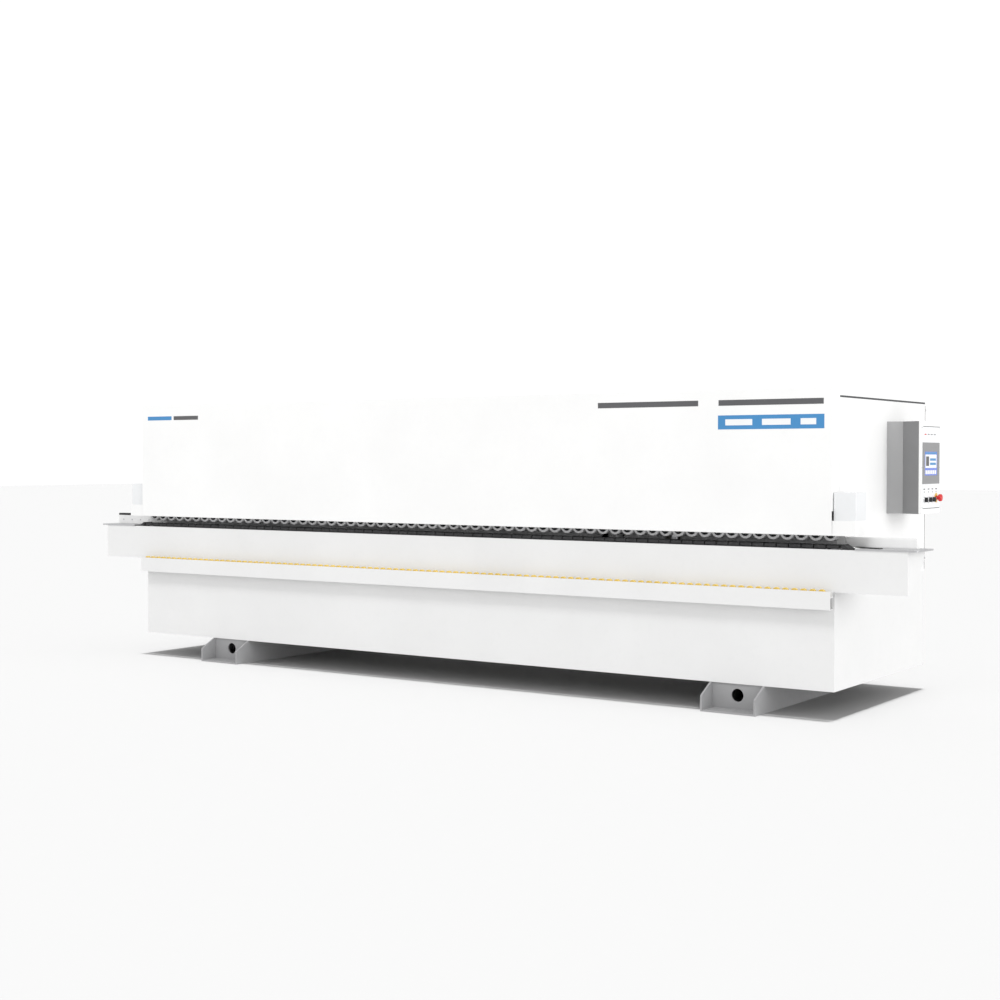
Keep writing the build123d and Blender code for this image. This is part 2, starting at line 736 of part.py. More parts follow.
def cabinet_hinge(z):
    """Fixed half of one cabinet hinge: foot, two ears and the pin."""
    pin_y = rear + cover_gap + 12
    hinge = block((cabinet_hinge_x + 1, cabinet_hinge_x + 30), (rear, rear + 4), (z - 24, z + 24))
    for side in (-1, 1):
        ear_z = sorted((z + side * 15, z + side * 22))
        hinge += block((cabinet_hinge_x - 7, cabinet_hinge_x + 7), (rear, pin_y), ear_z)
        hinge += rod_z_axis(7, cabinet_hinge_x, pin_y, ear_z)
        hinge += block((cabinet_hinge_x + 1, cabinet_hinge_x + 30), (rear, rear + 4), ear_z)
    return hinge + rod_z_axis(hinge_pin_radius, cabinet_hinge_x, pin_y, (z - 22, z + 22))


def main_switch():
    """Rotary main switch: spindle, round boss and grip."""
    face = rear + cover_gap + 20
    spindle = rod_y(12, switch_x, (face - 14, face + 10), cabinet_door_z)
    boss = rod_y(30, switch_x, (face + 0.4, face + 12), cabinet_door_z)
    grip_z = (cabinet_door_z - 26, cabinet_door_z + 26)
    grip = block((switch_x - 8, switch_x + 8), (face + 12, face + 34), grip_z)
    return spindle + boss + fillet(grip.edges().filter_by(Axis.Z), 3.0)


def electrical_plate():
    """Mounting plate in the electrical bay with its drives, contactors and wiring ducts."""
    y = rear - 300
    x0, x1 = cabinet_door_x - 380, cabinet_door_x + 380
    plate_bottom, plate_top = base_bottom + foot_plate, base_top - 115
    bay = plate_top - plate_bottom
    drive_z = (plate_top - 0.45 * bay, plate_top - 0.03 * bay)
    contactor_z = (plate_top - 0.30 * bay, plate_top - 0.09 * bay)
    plate = block((x0, x1), (y, y + 3), (plate_bottom, plate_top))
    for i in range(3):
        start = x0 + 40 + i * 130
        plate += block((start, start + 105), (y + 3, y + 143), drive_z)
    for i in range(8):
        start = x0 + 440 + i * 38
        plate += block((start, start + 32), (y + 3, y + 78), contactor_z)
    for z in (plate_top - 0.76 * bay, plate_top - 0.54 * bay):
        plate += block((x0 + 20, x1 - 20), (y + 3, y + 53), (z, z + 0.08 * bay))
    return plate


# ---- Working units ------------------------------------------------------------------------
bed_beam_y = (bed_beam_front, bed_beam_front + bed_beam_depth)


def unit_bed():
    """Hollow machined beam that carries the working units."""
    end = half - wall_flange - 15
    beam = block((-end, end), bed_beam_y, (base_top, bed_beam_top))
    wall = 12.0
    inner_y = (bed_beam_y[0] + wall, bed_beam_y[1] - wall)
    return beam - block((-end - 1, end + 1), inner_y, (base_top + wall, bed_beam_top - wall))


lid_hinge_y = -306.0
lid_z = 1080.0


def glue_pot():
    """Heated glue pot with a filling well, and the two ears and pin of its lid."""
    pot = block((glue_x - 90, glue_x + 90), (-478, -320), (bed_beam_top, lid_z))
    pot -= block((glue_x - 70, glue_x + 70), (-458, -340), (900, lid_z + 1))
    pot += block((glue_x - 45, glue_x + 45), (-320, -150), (bed_beam_top, bed_beam_top + 16))
    for side in (-1, 1):
        span = sorted((glue_x + side * 31, glue_x + side * 40))
        pot += block(span, (-320, lid_hinge_y + 6), (lid_z - 40, lid_z - 4))
        pot += rod_x(7, span, lid_hinge_y, lid_z)
        pot += block(span, (lid_hinge_y - 6, lid_hinge_y + 6), (lid_z - 40, lid_z))
    pot += rod_x(hinge_pin_radius, (glue_x - 40, glue_x + 40), lid_hinge_y, lid_z)
    return pot + block((glue_x - 30, glue_x + 30), (-525, -478), (bed_beam_top + 5, bed_beam_top + 25))


def glue_lid():
    """Hinged lid of the glue pot, with a round knob and a knuckle on the pin."""
    lid = block((glue_x - 92, glue_x + 92), (-480, -320), (lid_z + 0.4, lid_z + 6))
    lid += rod_z_axis(12, glue_x, -430, (lid_z + 6, lid_z + 26))
    lid += block((glue_x - 30, glue_x + 30), (-320, lid_hinge_y), (lid_z + 0.4, lid_z + 6))
    lid += rod_x(9, (glue_x - 30, glue_x + 30), lid_hinge_y, lid_z)
    return lid - rod_x(hinge_pin_radius + fit_gap, (glue_x - 31, glue_x + 31), lid_hinge_y, lid_z)


def glue_roller():
    """Upright roller that wipes hot glue on the board edge."""
    roller = rod_z_axis(26, glue_x, -508, (board_z - 6, 972))
    return roller + rod_z_axis(10, glue_x, -508, (bed_beam_top + 25.4, 990))


def press_roller():
    """Large upright roller that presses the tape on the glued edge."""
    roller = rod_z_axis(60, press_x, -472, (board_z - 6, 970))
    return roller + rod_z_axis(14, press_x, -472, (bed_beam_top + 21, 1000))


def press_bracket():
    """Arm under the press roller."""
    return block((press_x - 50, press_x + 50), (-512, -150), (bed_beam_top, bed_beam_top + 20.5))


def tape_reel():
    """Reel of edging tape: two flanges, a hub and the wound tape."""
    z = (1180, 1236)
    reel = rod_z_axis(reel_radius, reel_x, reel_y, (z[0], z[0] + 5))
    reel += rod_z_axis(reel_radius, reel_x, reel_y, (z[1] - 5, z[1]))
    reel += rod_z_axis(250, reel_x, reel_y, (z[0] + 5, z[1] - 5))
    return reel - rod_z_axis(20 + fit_gap, reel_x, reel_y, (z[0] - 1, z[1] + 1))


def reel_stand():
    """Post and disc under the tape reel."""
    post = rod_z_axis(20, reel_x, reel_y, (base_top, 1250))
    post += rod_z_axis(90, reel_x, reel_y, (1160, 1179.6))
    return post + rod_z_axis(80, reel_x, reel_y, (base_top, base_top + 12))


motor_places = ((trim_x + 60, 948.0), (trim_x - 60, 893.0), (buff_x, 985.0), (end_trim_x, 960.0))
motor_radius = 38.0
cutter_front = -526.0        # front face of the cutters and of the polishing wheel
spindle_radius = 8.0


def motor_y(x, z, radius):
    """Motor with its axis along Y, its terminal box and the column that holds it."""
    motor = rod_y(radius, x, (-480, -392), z)
    motor += rod_y(radius - 10, x, (-486, -480), z)
    motor -= rod_y(spindle_radius + fit_gap, x, (-487, -440), z)
    motor += block((x - 55, x + 55), (-392, -376), (bed_beam_top, z + radius))
    return motor + block((x - 55, x + 55), (-392, -300), (bed_beam_top, bed_beam_top + 14))


def cutter_y(x, z, radius, depth):
    """Cutter head or polishing wheel on a shaft that enters its motor."""
    head = rod_y(radius, x, (cutter_front, cutter_front + depth), z)
    return head + rod_y(spindle_radius, x, (cutter_front + depth, -445), z)


def dust_duct():
    """Collecting pipe along the rear with branches to the units and two outlets through the roof."""
    duct = rod_x(90, (duct_start, duct_end), duct_y, duct_z)
    for x in (end_trim_x, trim_x, buff_x):
        duct += rod_z_axis(45, x, duct_y, (1150, duct_z))
    pipe_top = hood_top + roof_height - sheet - 1
    for x in outlets_x:
        duct += rod_z_axis(outlet_radius, x, duct_y, (duct_z, pipe_top))
    duct -= rod_x(88, (duct_start + 2, duct_end - 2), duct_y, duct_z)
    for x in (end_trim_x, trim_x, buff_x):
        duct -= rod_z_axis(43, x, duct_y, (1149, duct_z))
    for x in outlets_x:
        duct -= rod_z_axis(outlet_radius - 2, x, duct_y, (duct_z, pipe_top + 1))
    return duct


def build():
    """Write every node."""
    save("base_frame", base_frame())
    save("feet", foot(foot_right_x), foot(foot_left_x))
    wall = end_wall()
    save("end_wall_right", wall)
    save("end_wall_left", mirrored(wall))
    save("roof_panel", roof_panel())
    save("tool_wall", tool_wall())
    save("unit_bed", unit_bed())
    save("track_skirt", track_skirt())
    save("track_bed", track_bed())
    plate = table_plate()
    save("table_plates", plate, mirrored(plate))
    save("infeed_fence", infeed_fence())
    save("outfeed_guide", outfeed_guide())

    save("track_pads_upper", *track_run(1))
    save("track_pads_return", *track_run(-1))
    save("sprocket_infeed", sprocket(track_half, 1))
    save("sprocket_outfeed", sprocket(-track_half, -1))
    save("track_motor", track_motor())

    save("pressure_beam", pressure_beam())
    box = beam_end_box()
    save("beam_end_boxes", box, mirrored(box))
    save("wheel_axles", *[wheel_axle(x) for x in wheels_x])
    save("pressure_wheels", *[pressure_wheel(x) for x in wheels_x[1:-1]])
    save("pressure_wheel_first", pressure_wheel(wheels_x[0]))
    save("pressure_wheel_last", pressure_wheel(wheels_x[-1]))
    carriage, column, screw = lift_carriage(), lift_column(), lift_screw()
    save("lift_carriages", carriage, mirrored(carriage))
    save("lift_columns", column, mirrored(column))
    save("lift_screw_right", screw)
    save("lift_screw_left", mirrored(screw))
    save("lift_shaft", lift_shaft())

    save("hood_door", *hood_door())

    save("support_beam", support_beam())
    first_roller = -(roller_count - 1) / 2 * roller_pitch
    rollers = [support_roller(first_roller + i * roller_pitch) for i in range(roller_count)]
    save("support_rollers", *rollers)
    save("support_rods", *[support_rod(x) for x in rods_x])

    save("console_bracket", console_bracket())
    save("console_housing", console_housing())
    save("console_bezel", console_bezel())
    save("console_panel", console_panel())
    save("console_screen", console_screen())
    for name, y in zip(("left", "middle", "right"), selectors_y):
        save(f"selector_{name}", selector(y))
    save("emergency_stop", emergency_stop())

    save("rear_frame", *rear_frame())
    save("rear_rails", *rear_rails())
    save("rear_door_right", rear_door(1, 0))
    save("rear_door_left", rear_door(-1, 1))
    save("cabinet_door", cabinet_door())
    door_hinges = [door_hinge(x) for x in hinges_x]
    save("hinge_brackets", *door_hinges, *[cabinet_hinge(z) for z in cabinet_hinges_z])
    save("main_switch", main_switch())
    save("electrical_plate", electrical_plate())

    save("glue_pot", glue_pot())
    save("glue_lid", glue_lid())
    save("glue_roller", glue_roller())
    save("press_roller", press_roller())
    save("tape_reel", tape_reel())
    save("unit_supports", press_bracket(), reel_stand())
    save("unit_motors", *[motor_y(x, z, motor_radius) for x, z in motor_places])
    save("trim_cutter_top", cutter_y(*motor_places[0], 30, 26))
    save("trim_cutter_bottom", cutter_y(*motor_places[1], 30, 26))
    save("buffing_wheel", cutter_y(*motor_places[2], 60, 30))
    save("dust_duct", dust_duct())


if __name__ == "__main__":
    build()
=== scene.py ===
"""Looks of an edge banding machine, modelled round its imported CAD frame.

Frame: +X runs towards the infeed end, +Y to the rear, +Z up, metres, floor at Z = 0.
"""

import math

import bmesh
import bpy
from bpy.props import FloatProperty, FloatVectorProperty, IntProperty, PointerProperty
from mathutils import Matrix, Vector


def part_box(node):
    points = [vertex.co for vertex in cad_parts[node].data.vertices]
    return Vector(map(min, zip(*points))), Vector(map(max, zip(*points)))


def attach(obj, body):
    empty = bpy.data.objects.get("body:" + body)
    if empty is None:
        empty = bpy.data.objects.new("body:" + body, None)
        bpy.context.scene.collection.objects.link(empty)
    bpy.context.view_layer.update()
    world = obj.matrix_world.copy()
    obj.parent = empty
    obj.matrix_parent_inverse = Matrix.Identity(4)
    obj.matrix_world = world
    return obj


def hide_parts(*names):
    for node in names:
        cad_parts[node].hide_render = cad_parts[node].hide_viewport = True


bl_info = {
    "name": "Edge banding machine",
    "version": (1, 0, 0),
    "blender": (4, 5, 0),
    "location": "View3D > Sidebar > Edge bander",
    "description": "Models the covers, wheels, track, console and working units of an edge banding machine",
    "category": "Object",
}

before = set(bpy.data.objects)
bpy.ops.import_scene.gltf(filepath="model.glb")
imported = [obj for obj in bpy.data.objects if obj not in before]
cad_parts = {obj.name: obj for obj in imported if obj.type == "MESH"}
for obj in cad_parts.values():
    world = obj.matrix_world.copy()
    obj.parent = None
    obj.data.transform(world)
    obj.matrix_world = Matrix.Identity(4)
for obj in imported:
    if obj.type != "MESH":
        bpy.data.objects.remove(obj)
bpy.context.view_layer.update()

FRONT = (0.0, -1.0, 0.0)
RIGHT = (1.0, 0.0, 0.0)
UP = (0.0, 0.0, 1.0)


# ---- Finishes ---------------------------------------------------------------------------------
# name: roughness, metallic, grain scale (1/m), bump, colour drift, wear, stretch of the pattern
FINISHES = {
    "white_paint": (0.42, 0.0, 700.0, 0.05, 0.018, 0.035, (1.0, 1.0, 1.0)),
    # greyer copy of the white paint: painted shade on the base, track skirt and support beam
    "painted_shade_white": (0.46, 0.0, 700.0, 0.06, 0.02, 0.05, (1.0, 1.0, 1.0)),
    "grey_paint": (0.45, 0.0, 900.0, 0.08, 0.05, 0.06, (1.0, 1.0, 1.0)),
    # lighter copy of the console paint: painted light on the bracket face turned to the side light
    "painted_light_console_grey": (0.45, 0.0, 900.0, 0.08, 0.05, 0.06, (1.0, 1.0, 1.0)),
    "dark_paint": (0.6, 0.0, 800.0, 0.12, 0.12, 0.16, (1.0, 1.0, 1.0)),
    # dark grey on the feet, darker than their own light grey: painted shade
    "foot_paint": (0.5, 0.0, 600.0, 0.1, 0.06, 0.12, (1.0, 1.0, 1.0)),
    "guard_paint": (0.6, 0.0, 800.0, 0.1, 0.06, 0.1, (1.0, 1.0, 1.0)),
    "gearcase_paint": (0.42, 0.0, 700.0, 0.06, 0.03, 0.05, (1.0, 1.0, 1.0)),
    "panel_band": (0.5, 0.0, 1200.0, 0.04, 0.03, 0.04, (1.0, 1.0, 1.0)),
    "curtain_rubber": (0.75, 0.0, 500.0, 0.15, 0.08, 0.12, (1.0, 1.0, 0.1)),
    "machined_steel": (0.32, 1.0, 260.0, 0.06, 0.07, 0.12, (0.08, 1.0, 1.0)),
    "bright_steel": (0.14, 1.0, 400.0, 0.02, 0.04, 0.05, (1.0, 1.0, 0.1)),
    "zinc": (0.36, 1.0, 90.0, 0.05, 0.12, 0.12, (1.0, 1.0, 1.0)),
    "aluminium": (0.3, 1.0, 300.0, 0.05, 0.06, 0.08, (0.1, 1.0, 1.0)),
    "pad_rubber": (0.82, 0.0, 650.0, 0.3, 0.25, 0.35, (1.0, 1.0, 1.0)),
    "wheel_rubber": (0.7, 0.0, 500.0, 0.18, 0.08, 0.14, (1.0, 1.0, 1.0)),
    "yellow_plastic": (0.45, 0.0, 400.0, 0.08, 0.06, 0.12, (1.0, 1.0, 1.0)),
    "black_plastic": (0.55, 0.0, 900.0, 0.18, 0.2, 0.2, (1.0, 1.0, 1.0)),
    "red_plastic": (0.25, 0.0, 300.0, 0.02, 0.06, 0.05, (1.0, 1.0, 1.0)),
    "panel_foil": (0.4, 0.0, 1200.0, 0.04, 0.02, 0.04, (1.0, 1.0, 1.0)),
    "screen_glass": (0.08, 0.0, 60.0, 0.0, 0.12, 0.05, (1.0, 1.0, 1.0)),
    "motor_paint": (0.4, 0.0, 240.0, 0.22, 0.12, 0.12, (1.0, 1.0, 1.0)),
    "glue_enamel": (0.35, 0.0, 220.0, 0.06, 0.06, 0.3, (1.0, 1.0, 1.0)),
    "tape": (0.38, 0.0, 1400.0, 0.1, 0.06, 0.05, (0.02, 0.02, 1.0)),
    "blade_steel": (0.25, 1.0, 500.0, 0.03, 0.06, 0.1, (1.0, 1.0, 1.0)),
    "felt": (0.95, 0.0, 1500.0, 0.6, 0.14, 0.2, (1.0, 0.2, 1.0)),
    "label_blue": (0.35, 0.0, 800.0, 0.02, 0.03, 0.03, (1.0, 1.0, 1.0)),
    "label_grey": (0.45, 0.0, 800.0, 0.02, 0.05, 0.04, (1.0, 1.0, 1.0)),
}

COLOURS = {
    "white_paint": ("White paint", (0.885, 0.885, 0.88)),
    # greyer copy of the white paint: painted shade on the base, track skirt and support beam
    "painted_shade_white": ("White paint darkened as painted shade", (0.78, 0.78, 0.778)),
    "grey_paint": ("Console paint", (0.21, 0.21, 0.213)),
    # lighter copy of the console paint: painted light on the bracket face turned to the side light
    "painted_light_console_grey": ("Console paint lightened as painted light", (0.36, 0.36, 0.363)),
    "dark_paint": ("Dark paint", (0.055, 0.056, 0.06)),
    # dark grey on the feet, darker than their own light grey: painted shade
    "foot_paint": ("Foot grey darkened as painted shade", (0.34, 0.34, 0.345)),
    "guard_paint": ("Guard wall paint", (0.56, 0.56, 0.565)),
    "gearcase_paint": ("End box paint", (0.80, 0.81, 0.82)),
    "panel_band": ("Console foil band", (0.27, 0.27, 0.275)),
    "curtain_rubber": ("Strip curtain", (0.50, 0.50, 0.505)),
    "machined_steel": ("Machined steel", (0.56, 0.56, 0.57)),
    "bright_steel": ("Chromed steel", (0.78, 0.78, 0.79)),
    "zinc": ("Zinc plating", (0.62, 0.63, 0.64)),
    "aluminium": ("Aluminium", (0.74, 0.74, 0.75)),
    "pad_rubber": ("Track pad rubber", (0.034, 0.034, 0.036)),
    "wheel_rubber": ("Wheel tyre rubber", (0.64, 0.64, 0.645)),
    "yellow_plastic": ("Support roller plastic", (0.80, 0.56, 0.10)),
    "black_plastic": ("Black plastic", (0.018, 0.018, 0.02)),
    "red_plastic": ("Red plastic", (0.62, 0.02, 0.02)),
    "panel_foil": ("Console foil", (0.86, 0.87, 0.88)),
    "screen_glass": ("Screen", (0.05, 0.10, 0.42)),
    "motor_paint": ("Motor paint", (0.09, 0.12, 0.16)),
    "glue_enamel": ("Glue pot enamel", (0.60, 0.58, 0.53)),
    "tape": ("Edging tape", (0.66, 0.55, 0.40)),
    "blade_steel": ("Cutter steel", (0.60, 0.60, 0.62)),
    "felt": ("Polishing cloth", (0.70, 0.66, 0.56)),
    "label_blue": ("Blue marking", (0.055, 0.25, 0.53)),
    "label_grey": ("Grey marking", (0.10, 0.10, 0.105)),
}


def colour_property(title, default):
    """A colour that a user can change."""
    return FloatVectorProperty(
        name=title, description=f"Base colour of: {title.lower()}", subtype="COLOR",
        size=3, min=0.0, max=1.0, default=default)


def length_property(title, text, default):
    """A length that a user can change."""
    return FloatProperty(name=title, description=text, default=default, min=0.0, unit="LENGTH", precision=4)


class EdgeBanderColours(bpy.types.PropertyGroup):
    """Base colours of the finishes."""
    __annotations__ = {name: colour_property(*entry) for name, entry in COLOURS.items()}


class EdgeBanderSizes(bpy.types.PropertyGroup):
    """Sizes of the pieces that are modelled here."""
    tyre_thickness: length_property("Tyre thickness", "Depth of a wheel's rubber ring", 0.013)
    tyre_edge: length_property("Tyre edge", "Rounding of the tyre's shoulders", 0.003)
    pad_rib_height: length_property("Rib height", "Height of the grip ribs on a track pad", 0.0035)
    pad_rib_count: IntProperty(
        name="Ribs", description="Grip ribs on each track pad", default=5, min=1, max=8)
    bend_radius: length_property("Bend radius", "Outer radius of the folds in the front cover", 0.004)
    thread_pitch: length_property("Thread pitch", "Pitch of the lifting screws", 0.010)
    fin_count: IntProperty(
        name="Motor fins", description="Cooling ribs round each motor", default=20, min=6, max=40)
    marking_thickness: length_property("Marking thickness", "Thickness of the foils on the covers", 0.0004)


def sizes():
    """The sizes as set in the scene."""
    return bpy.context.scene.edge_bander_sizes


def finish_material(name):
    """Material with slow colour drift, a fine grain in the bump, and rubbed and dusty patches."""
    title = f"{name}_finish"
    if title in bpy.data.materials:
        return bpy.data.materials[title]
    roughness, metallic, grain, bump, drift, wear, stretch = FINISHES[name]
    colour = Vector(getattr(bpy.context.scene.edge_bander_colours, name))
    material = bpy.data.materials.new(title)
    material.use_nodes = True
    nodes, links = material.node_tree.nodes, material.node_tree.links
    shader = nodes["Principled BSDF"]
    shader.inputs["Metallic"].default_value = metallic
    place = nodes.new("ShaderNodeTexCoord")
    mapping = nodes.new("ShaderNodeMapping")
    mapping.inputs["Scale"].default_value = stretch
    links.new(place.outputs["Object"], mapping.inputs["Vector"])

    def noise(scale, detail, rough, vector):
        node = nodes.new("ShaderNodeTexNoise")
        node.inputs["Scale"].default_value = scale
        node.inputs["Detail"].default_value = detail
        node.inputs["Roughness"].default_value = rough
        links.new(vector, node.inputs["Vector"])
        return node.outputs["Fac"]

    def mix(factor, a, b):
        node = nodes.new("ShaderNodeMix")
        node.data_type = "RGBA"
        links.new(factor, node.inputs["Factor"])
        for socket, value in ((node.inputs[6], a), (node.inputs[7], b)):
            if isinstance(value, bpy.types.NodeSocket):
                links.new(value, socket)
            else:
                socket.default_value = (*value, 1.0)
        return node.outputs[2]

    def spread(factor, low, high, new_low, new_high):
        node = nodes.new("ShaderNodeMapRange")
        node.inputs["From Min"].default_value = low
        node.inputs["From Max"].default_value = high
        node.inputs["To Min"].default_value = new_low
        node.inputs["To Max"].default_value = new_high
        links.new(factor, node.inputs["Value"])
        return node.outputs["Result"]

    slow = noise(2.3, 3.0, 0.5, place.outputs["Object"])
    fine = noise(grain, 2.0, 0.6, mapping.outputs["Vector"])
    rubbed = noise(26.0, 6.0, 0.68, mapping.outputs["Vector"])
    lighter = [min(1.0, c * (1 + drift)) for c in colour]
    darker = [c * (1 - drift) for c in colour]
    base = mix(spread(slow, 0.3, 0.7, 0.0, 1.0), darker, lighter)
    middle = sum(colour) / 3
    dusty = [c + (0.42 - c) * 0.35 if middle < 0.25 else c * 0.8 for c in colour]
    worn = mix(spread(rubbed, 0.52, 0.78, 0.0, wear * 2.2), base, dusty)
    grained = mix(spread(fine, 0.35, 0.65, 0.0, min(1.0, drift * 3)), worn, darker)
    links.new(grained, shader.inputs["Base Color"])
    polished, dull = max(0.04, roughness * (1 - 1.5 * wear)), min(1.0, roughness * (1 + 1.5 * wear))
    links.new(spread(rubbed, 0.3, 0.75, polished, dull), shader.inputs["Roughness"])
    relief = nodes.new("ShaderNodeBump")
    relief.inputs["Strength"].default_value = max(0.02, bump)
    relief.inputs["Distance"].default_value = 0.0004
    links.new(fine, relief.inputs["Height"])
    links.new(relief.outputs["Normal"], shader.inputs["Normal"])
    if name == "screen_glass":
        shader.inputs["Coat Weight"].default_value = 0.6
        shader.inputs["Emission Color"].default_value = (*colour, 1.0)
        shader.inputs["Emission Strength"].default_value = 0.7
    if name == "felt":
        shader.inputs["Sheen Weight"].default_value = 0.4
    return material


# ---- Shapes -----------------------------------------------------------------------------------
def faces_round(verts):
    """Every face that touches the vertices."""
    return {face for vert in verts for face in vert.link_faces}


def colour_faces(verts, slot):
    """Give the faces round the vertices one of the piece's materials."""
    for face in faces_round(verts):
        face.material_index = slot
    return verts


def add_block(bm, low, high, slot=0, round_off=0.0, segments=2):
    """A block between two corners, with all its edges rounded when asked."""
    low, high = Vector(low), Vector(high)
    place = Matrix.Translation((low + high) / 2) @ Matrix.Diagonal((*(high - low), 1.0))
    verts = bmesh.ops.create_cube(bm, size=1.0, matrix=place)["verts"]
    colour_faces(verts, slot)
    if round_off:
        edges = list({edge for vert in verts for edge in vert.link_edges})
        made = bmesh.ops.bevel(
            bm, geom=edges, offset=round_off, offset_type="OFFSET", affect="EDGES",
            segments=segments, profile=0.5, material=-1)
        verts = list({vert for face in made["faces"] for vert in face.verts})
    return verts


def shift_swept(bm, geometry, offset):
    """Move the vertices that an extrusion has just made."""
    verts = [item for item in geometry if isinstance(item, bmesh.types.BMVert)]
    bmesh.ops.translate(bm, verts=verts, vec=offset)


def aim(start, direction):
    """Matrix that carries +Z at the origin to a direction at a point."""
    turn = Vector(direction).to_track_quat("Z", "Y").to_matrix().to_4x4()
    return Matrix.Translation(Vector(start)) @ turn


def add_rod(bm, radius, start, end, slot=0, segments=24, tip=None):
    """A round or many-sided bar between two points; tip is its radius at the far end."""
    start, end = Vector(start), Vector(end)
    length = (end - start).length
    place = aim(start, end - start) @ Matrix.Translation((0, 0, length / 2))
    verts = bmesh.ops.create_cone(
        bm, cap_ends=True, cap_tris=False, segments=segments, radius1=radius,
        radius2=radius if tip is None else tip, depth=length, matrix=place)["verts"]
    return colour_faces(verts, slot)


def add_turned(bm, outline, start, direction, slot=0, segments=32):
    """A turned solid: the closed outline of (radius, distance) spun round the axis."""
    verts = [bm.verts.new((radius, 0.0, along)) for radius, along in outline]
    edges = [bm.edges.new((verts[i - 1], verts[i])) for i in range(len(verts))]
    made = bmesh.ops.spin(
        bm, geom=verts + edges, cent=(0, 0, 0), axis=(0, 0, 1), dvec=(0, 0, 0),
        angle=2 * math.pi, steps=segments, use_merge=True, use_duplicate=False)
    last = {v for v in made["geom_last"] if isinstance(v, bmesh.types.BMVert)}
    whole = {v for v in verts if v.is_valid} | last
    reach, todo = set(whole), list(whole)
    while todo:
        for edge in todo.pop().link_edges:
            for vert in edge.verts:
                if vert not in reach:
                    reach.add(vert)
                    todo.append(vert)
    bmesh.ops.remove_doubles(bm, verts=list(reach), dist=1e-7)
    reach = {v for v in reach if v.is_valid}
    bmesh.ops.transform(bm, matrix=aim(start, direction), verts=list(reach))
    return colour_faces(list(reach), slot)


def repeated(unit, offsets):
    """One unit copied to each offset, as one mesh."""
    mesh = bpy.data.meshes.new("unit")
    unit.to_mesh(mesh)
    unit.free()
    whole = bmesh.new()
    for offset in offsets:
        before = len(whole.verts)
        whole.from_mesh(mesh)
        whole.verts.ensure_lookup_table()
        bmesh.ops.translate(whole, verts=whole.verts[before:], vec=offset)
    bpy.data.meshes.remove(mesh)
    return whole


def add_piece(name, bm, finishes, body, slot, *nodes, smooth=35.0):
    """Turn the mesh into a piece that moves with a body and stands for the CAD nodes named."""
    bmesh.ops.recalc_face_normals(bm, faces=bm.faces)
    mesh = bpy.data.meshes.new(name)
    bm.to_mesh(mesh)
    bm.free()
    mesh.shade_smooth()
    mesh.set_sharp_from_angle(angle=math.radians(smooth))
    for finish in finishes:
        mesh.materials.append(finish_material(finish))
    piece = bpy.data.objects.new(name, mesh)
    bpy.context.scene.collection.objects.link(piece)
    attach(piece, body)
    if nodes:
        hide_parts(*nodes)
    return piece


def node_box(name):
    """Low and high corner of a CAD node."""
    low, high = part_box(name)
    return Vector(low), Vector(high)


# ---- CAD nodes that keep their own shape ---------------------------------------------------------
KEPT_NODES = {
    # the base, track skirt and support beam take the greyer copy of the white paint, and the feet a darker
    # grey: both are painted shade
    "base_frame": "painted_shade_white", "feet": "foot_paint", "end_wall_right": "white_paint",
    "end_wall_left": "white_paint", "roof_panel": "dark_paint", "tool_wall": "guard_paint",
    "unit_bed": "machined_steel", "track_skirt": "painted_shade_white", "track_bed": "dark_paint",
    "table_plates": "machined_steel", "infeed_fence": "white_paint", "outfeed_guide": "white_paint",
    "track_motor": "motor_paint", "pressure_beam": "white_paint", "beam_end_boxes": "gearcase_paint",
    "lift_carriages": "machined_steel", "lift_columns": "machined_steel", "lift_shaft": "bright_steel",
    "hinge_brackets": "zinc", "support_beam": "painted_shade_white", "support_rods": "bright_steel",
    # the console bracket takes the lighter copy of the console paint, which is painted light
    "console_bracket": "painted_light_console_grey", "console_housing": "grey_paint", "console_bezel": "white_paint",
    "rear_frame": "white_paint", "rear_rails": "white_paint", "rear_door_right": "white_paint",
    "rear_door_left": "white_paint", "cabinet_door": "white_paint", "electrical_plate": "zinc",
    "glue_pot": "glue_enamel", "unit_supports": "machined_steel", "unit_motors": "motor_paint",
    "dust_duct": "zinc", "glue_roller": "machined_steel", "press_roller": "wheel_rubber",
    "sprocket_infeed": "pad_rubber", "sprocket_outfeed": "pad_rubber",
}


class EDGEBANDER_OT_finish_frame(bpy.types.Operator):
    """Give the CAD pieces that keep their own shape their finishes"""
    bl_idname = "edge_bander.finish_frame"
    bl_label = "Finish the frame"
    bl_options = {"REGISTER", "UNDO"}

    def execute(self, context):
        for name, finish in KEPT_NODES.items():
            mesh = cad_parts[name].data
            mesh.materials.clear()
            mesh.materials.append(finish_material(finish))
        return {"FINISHED"}


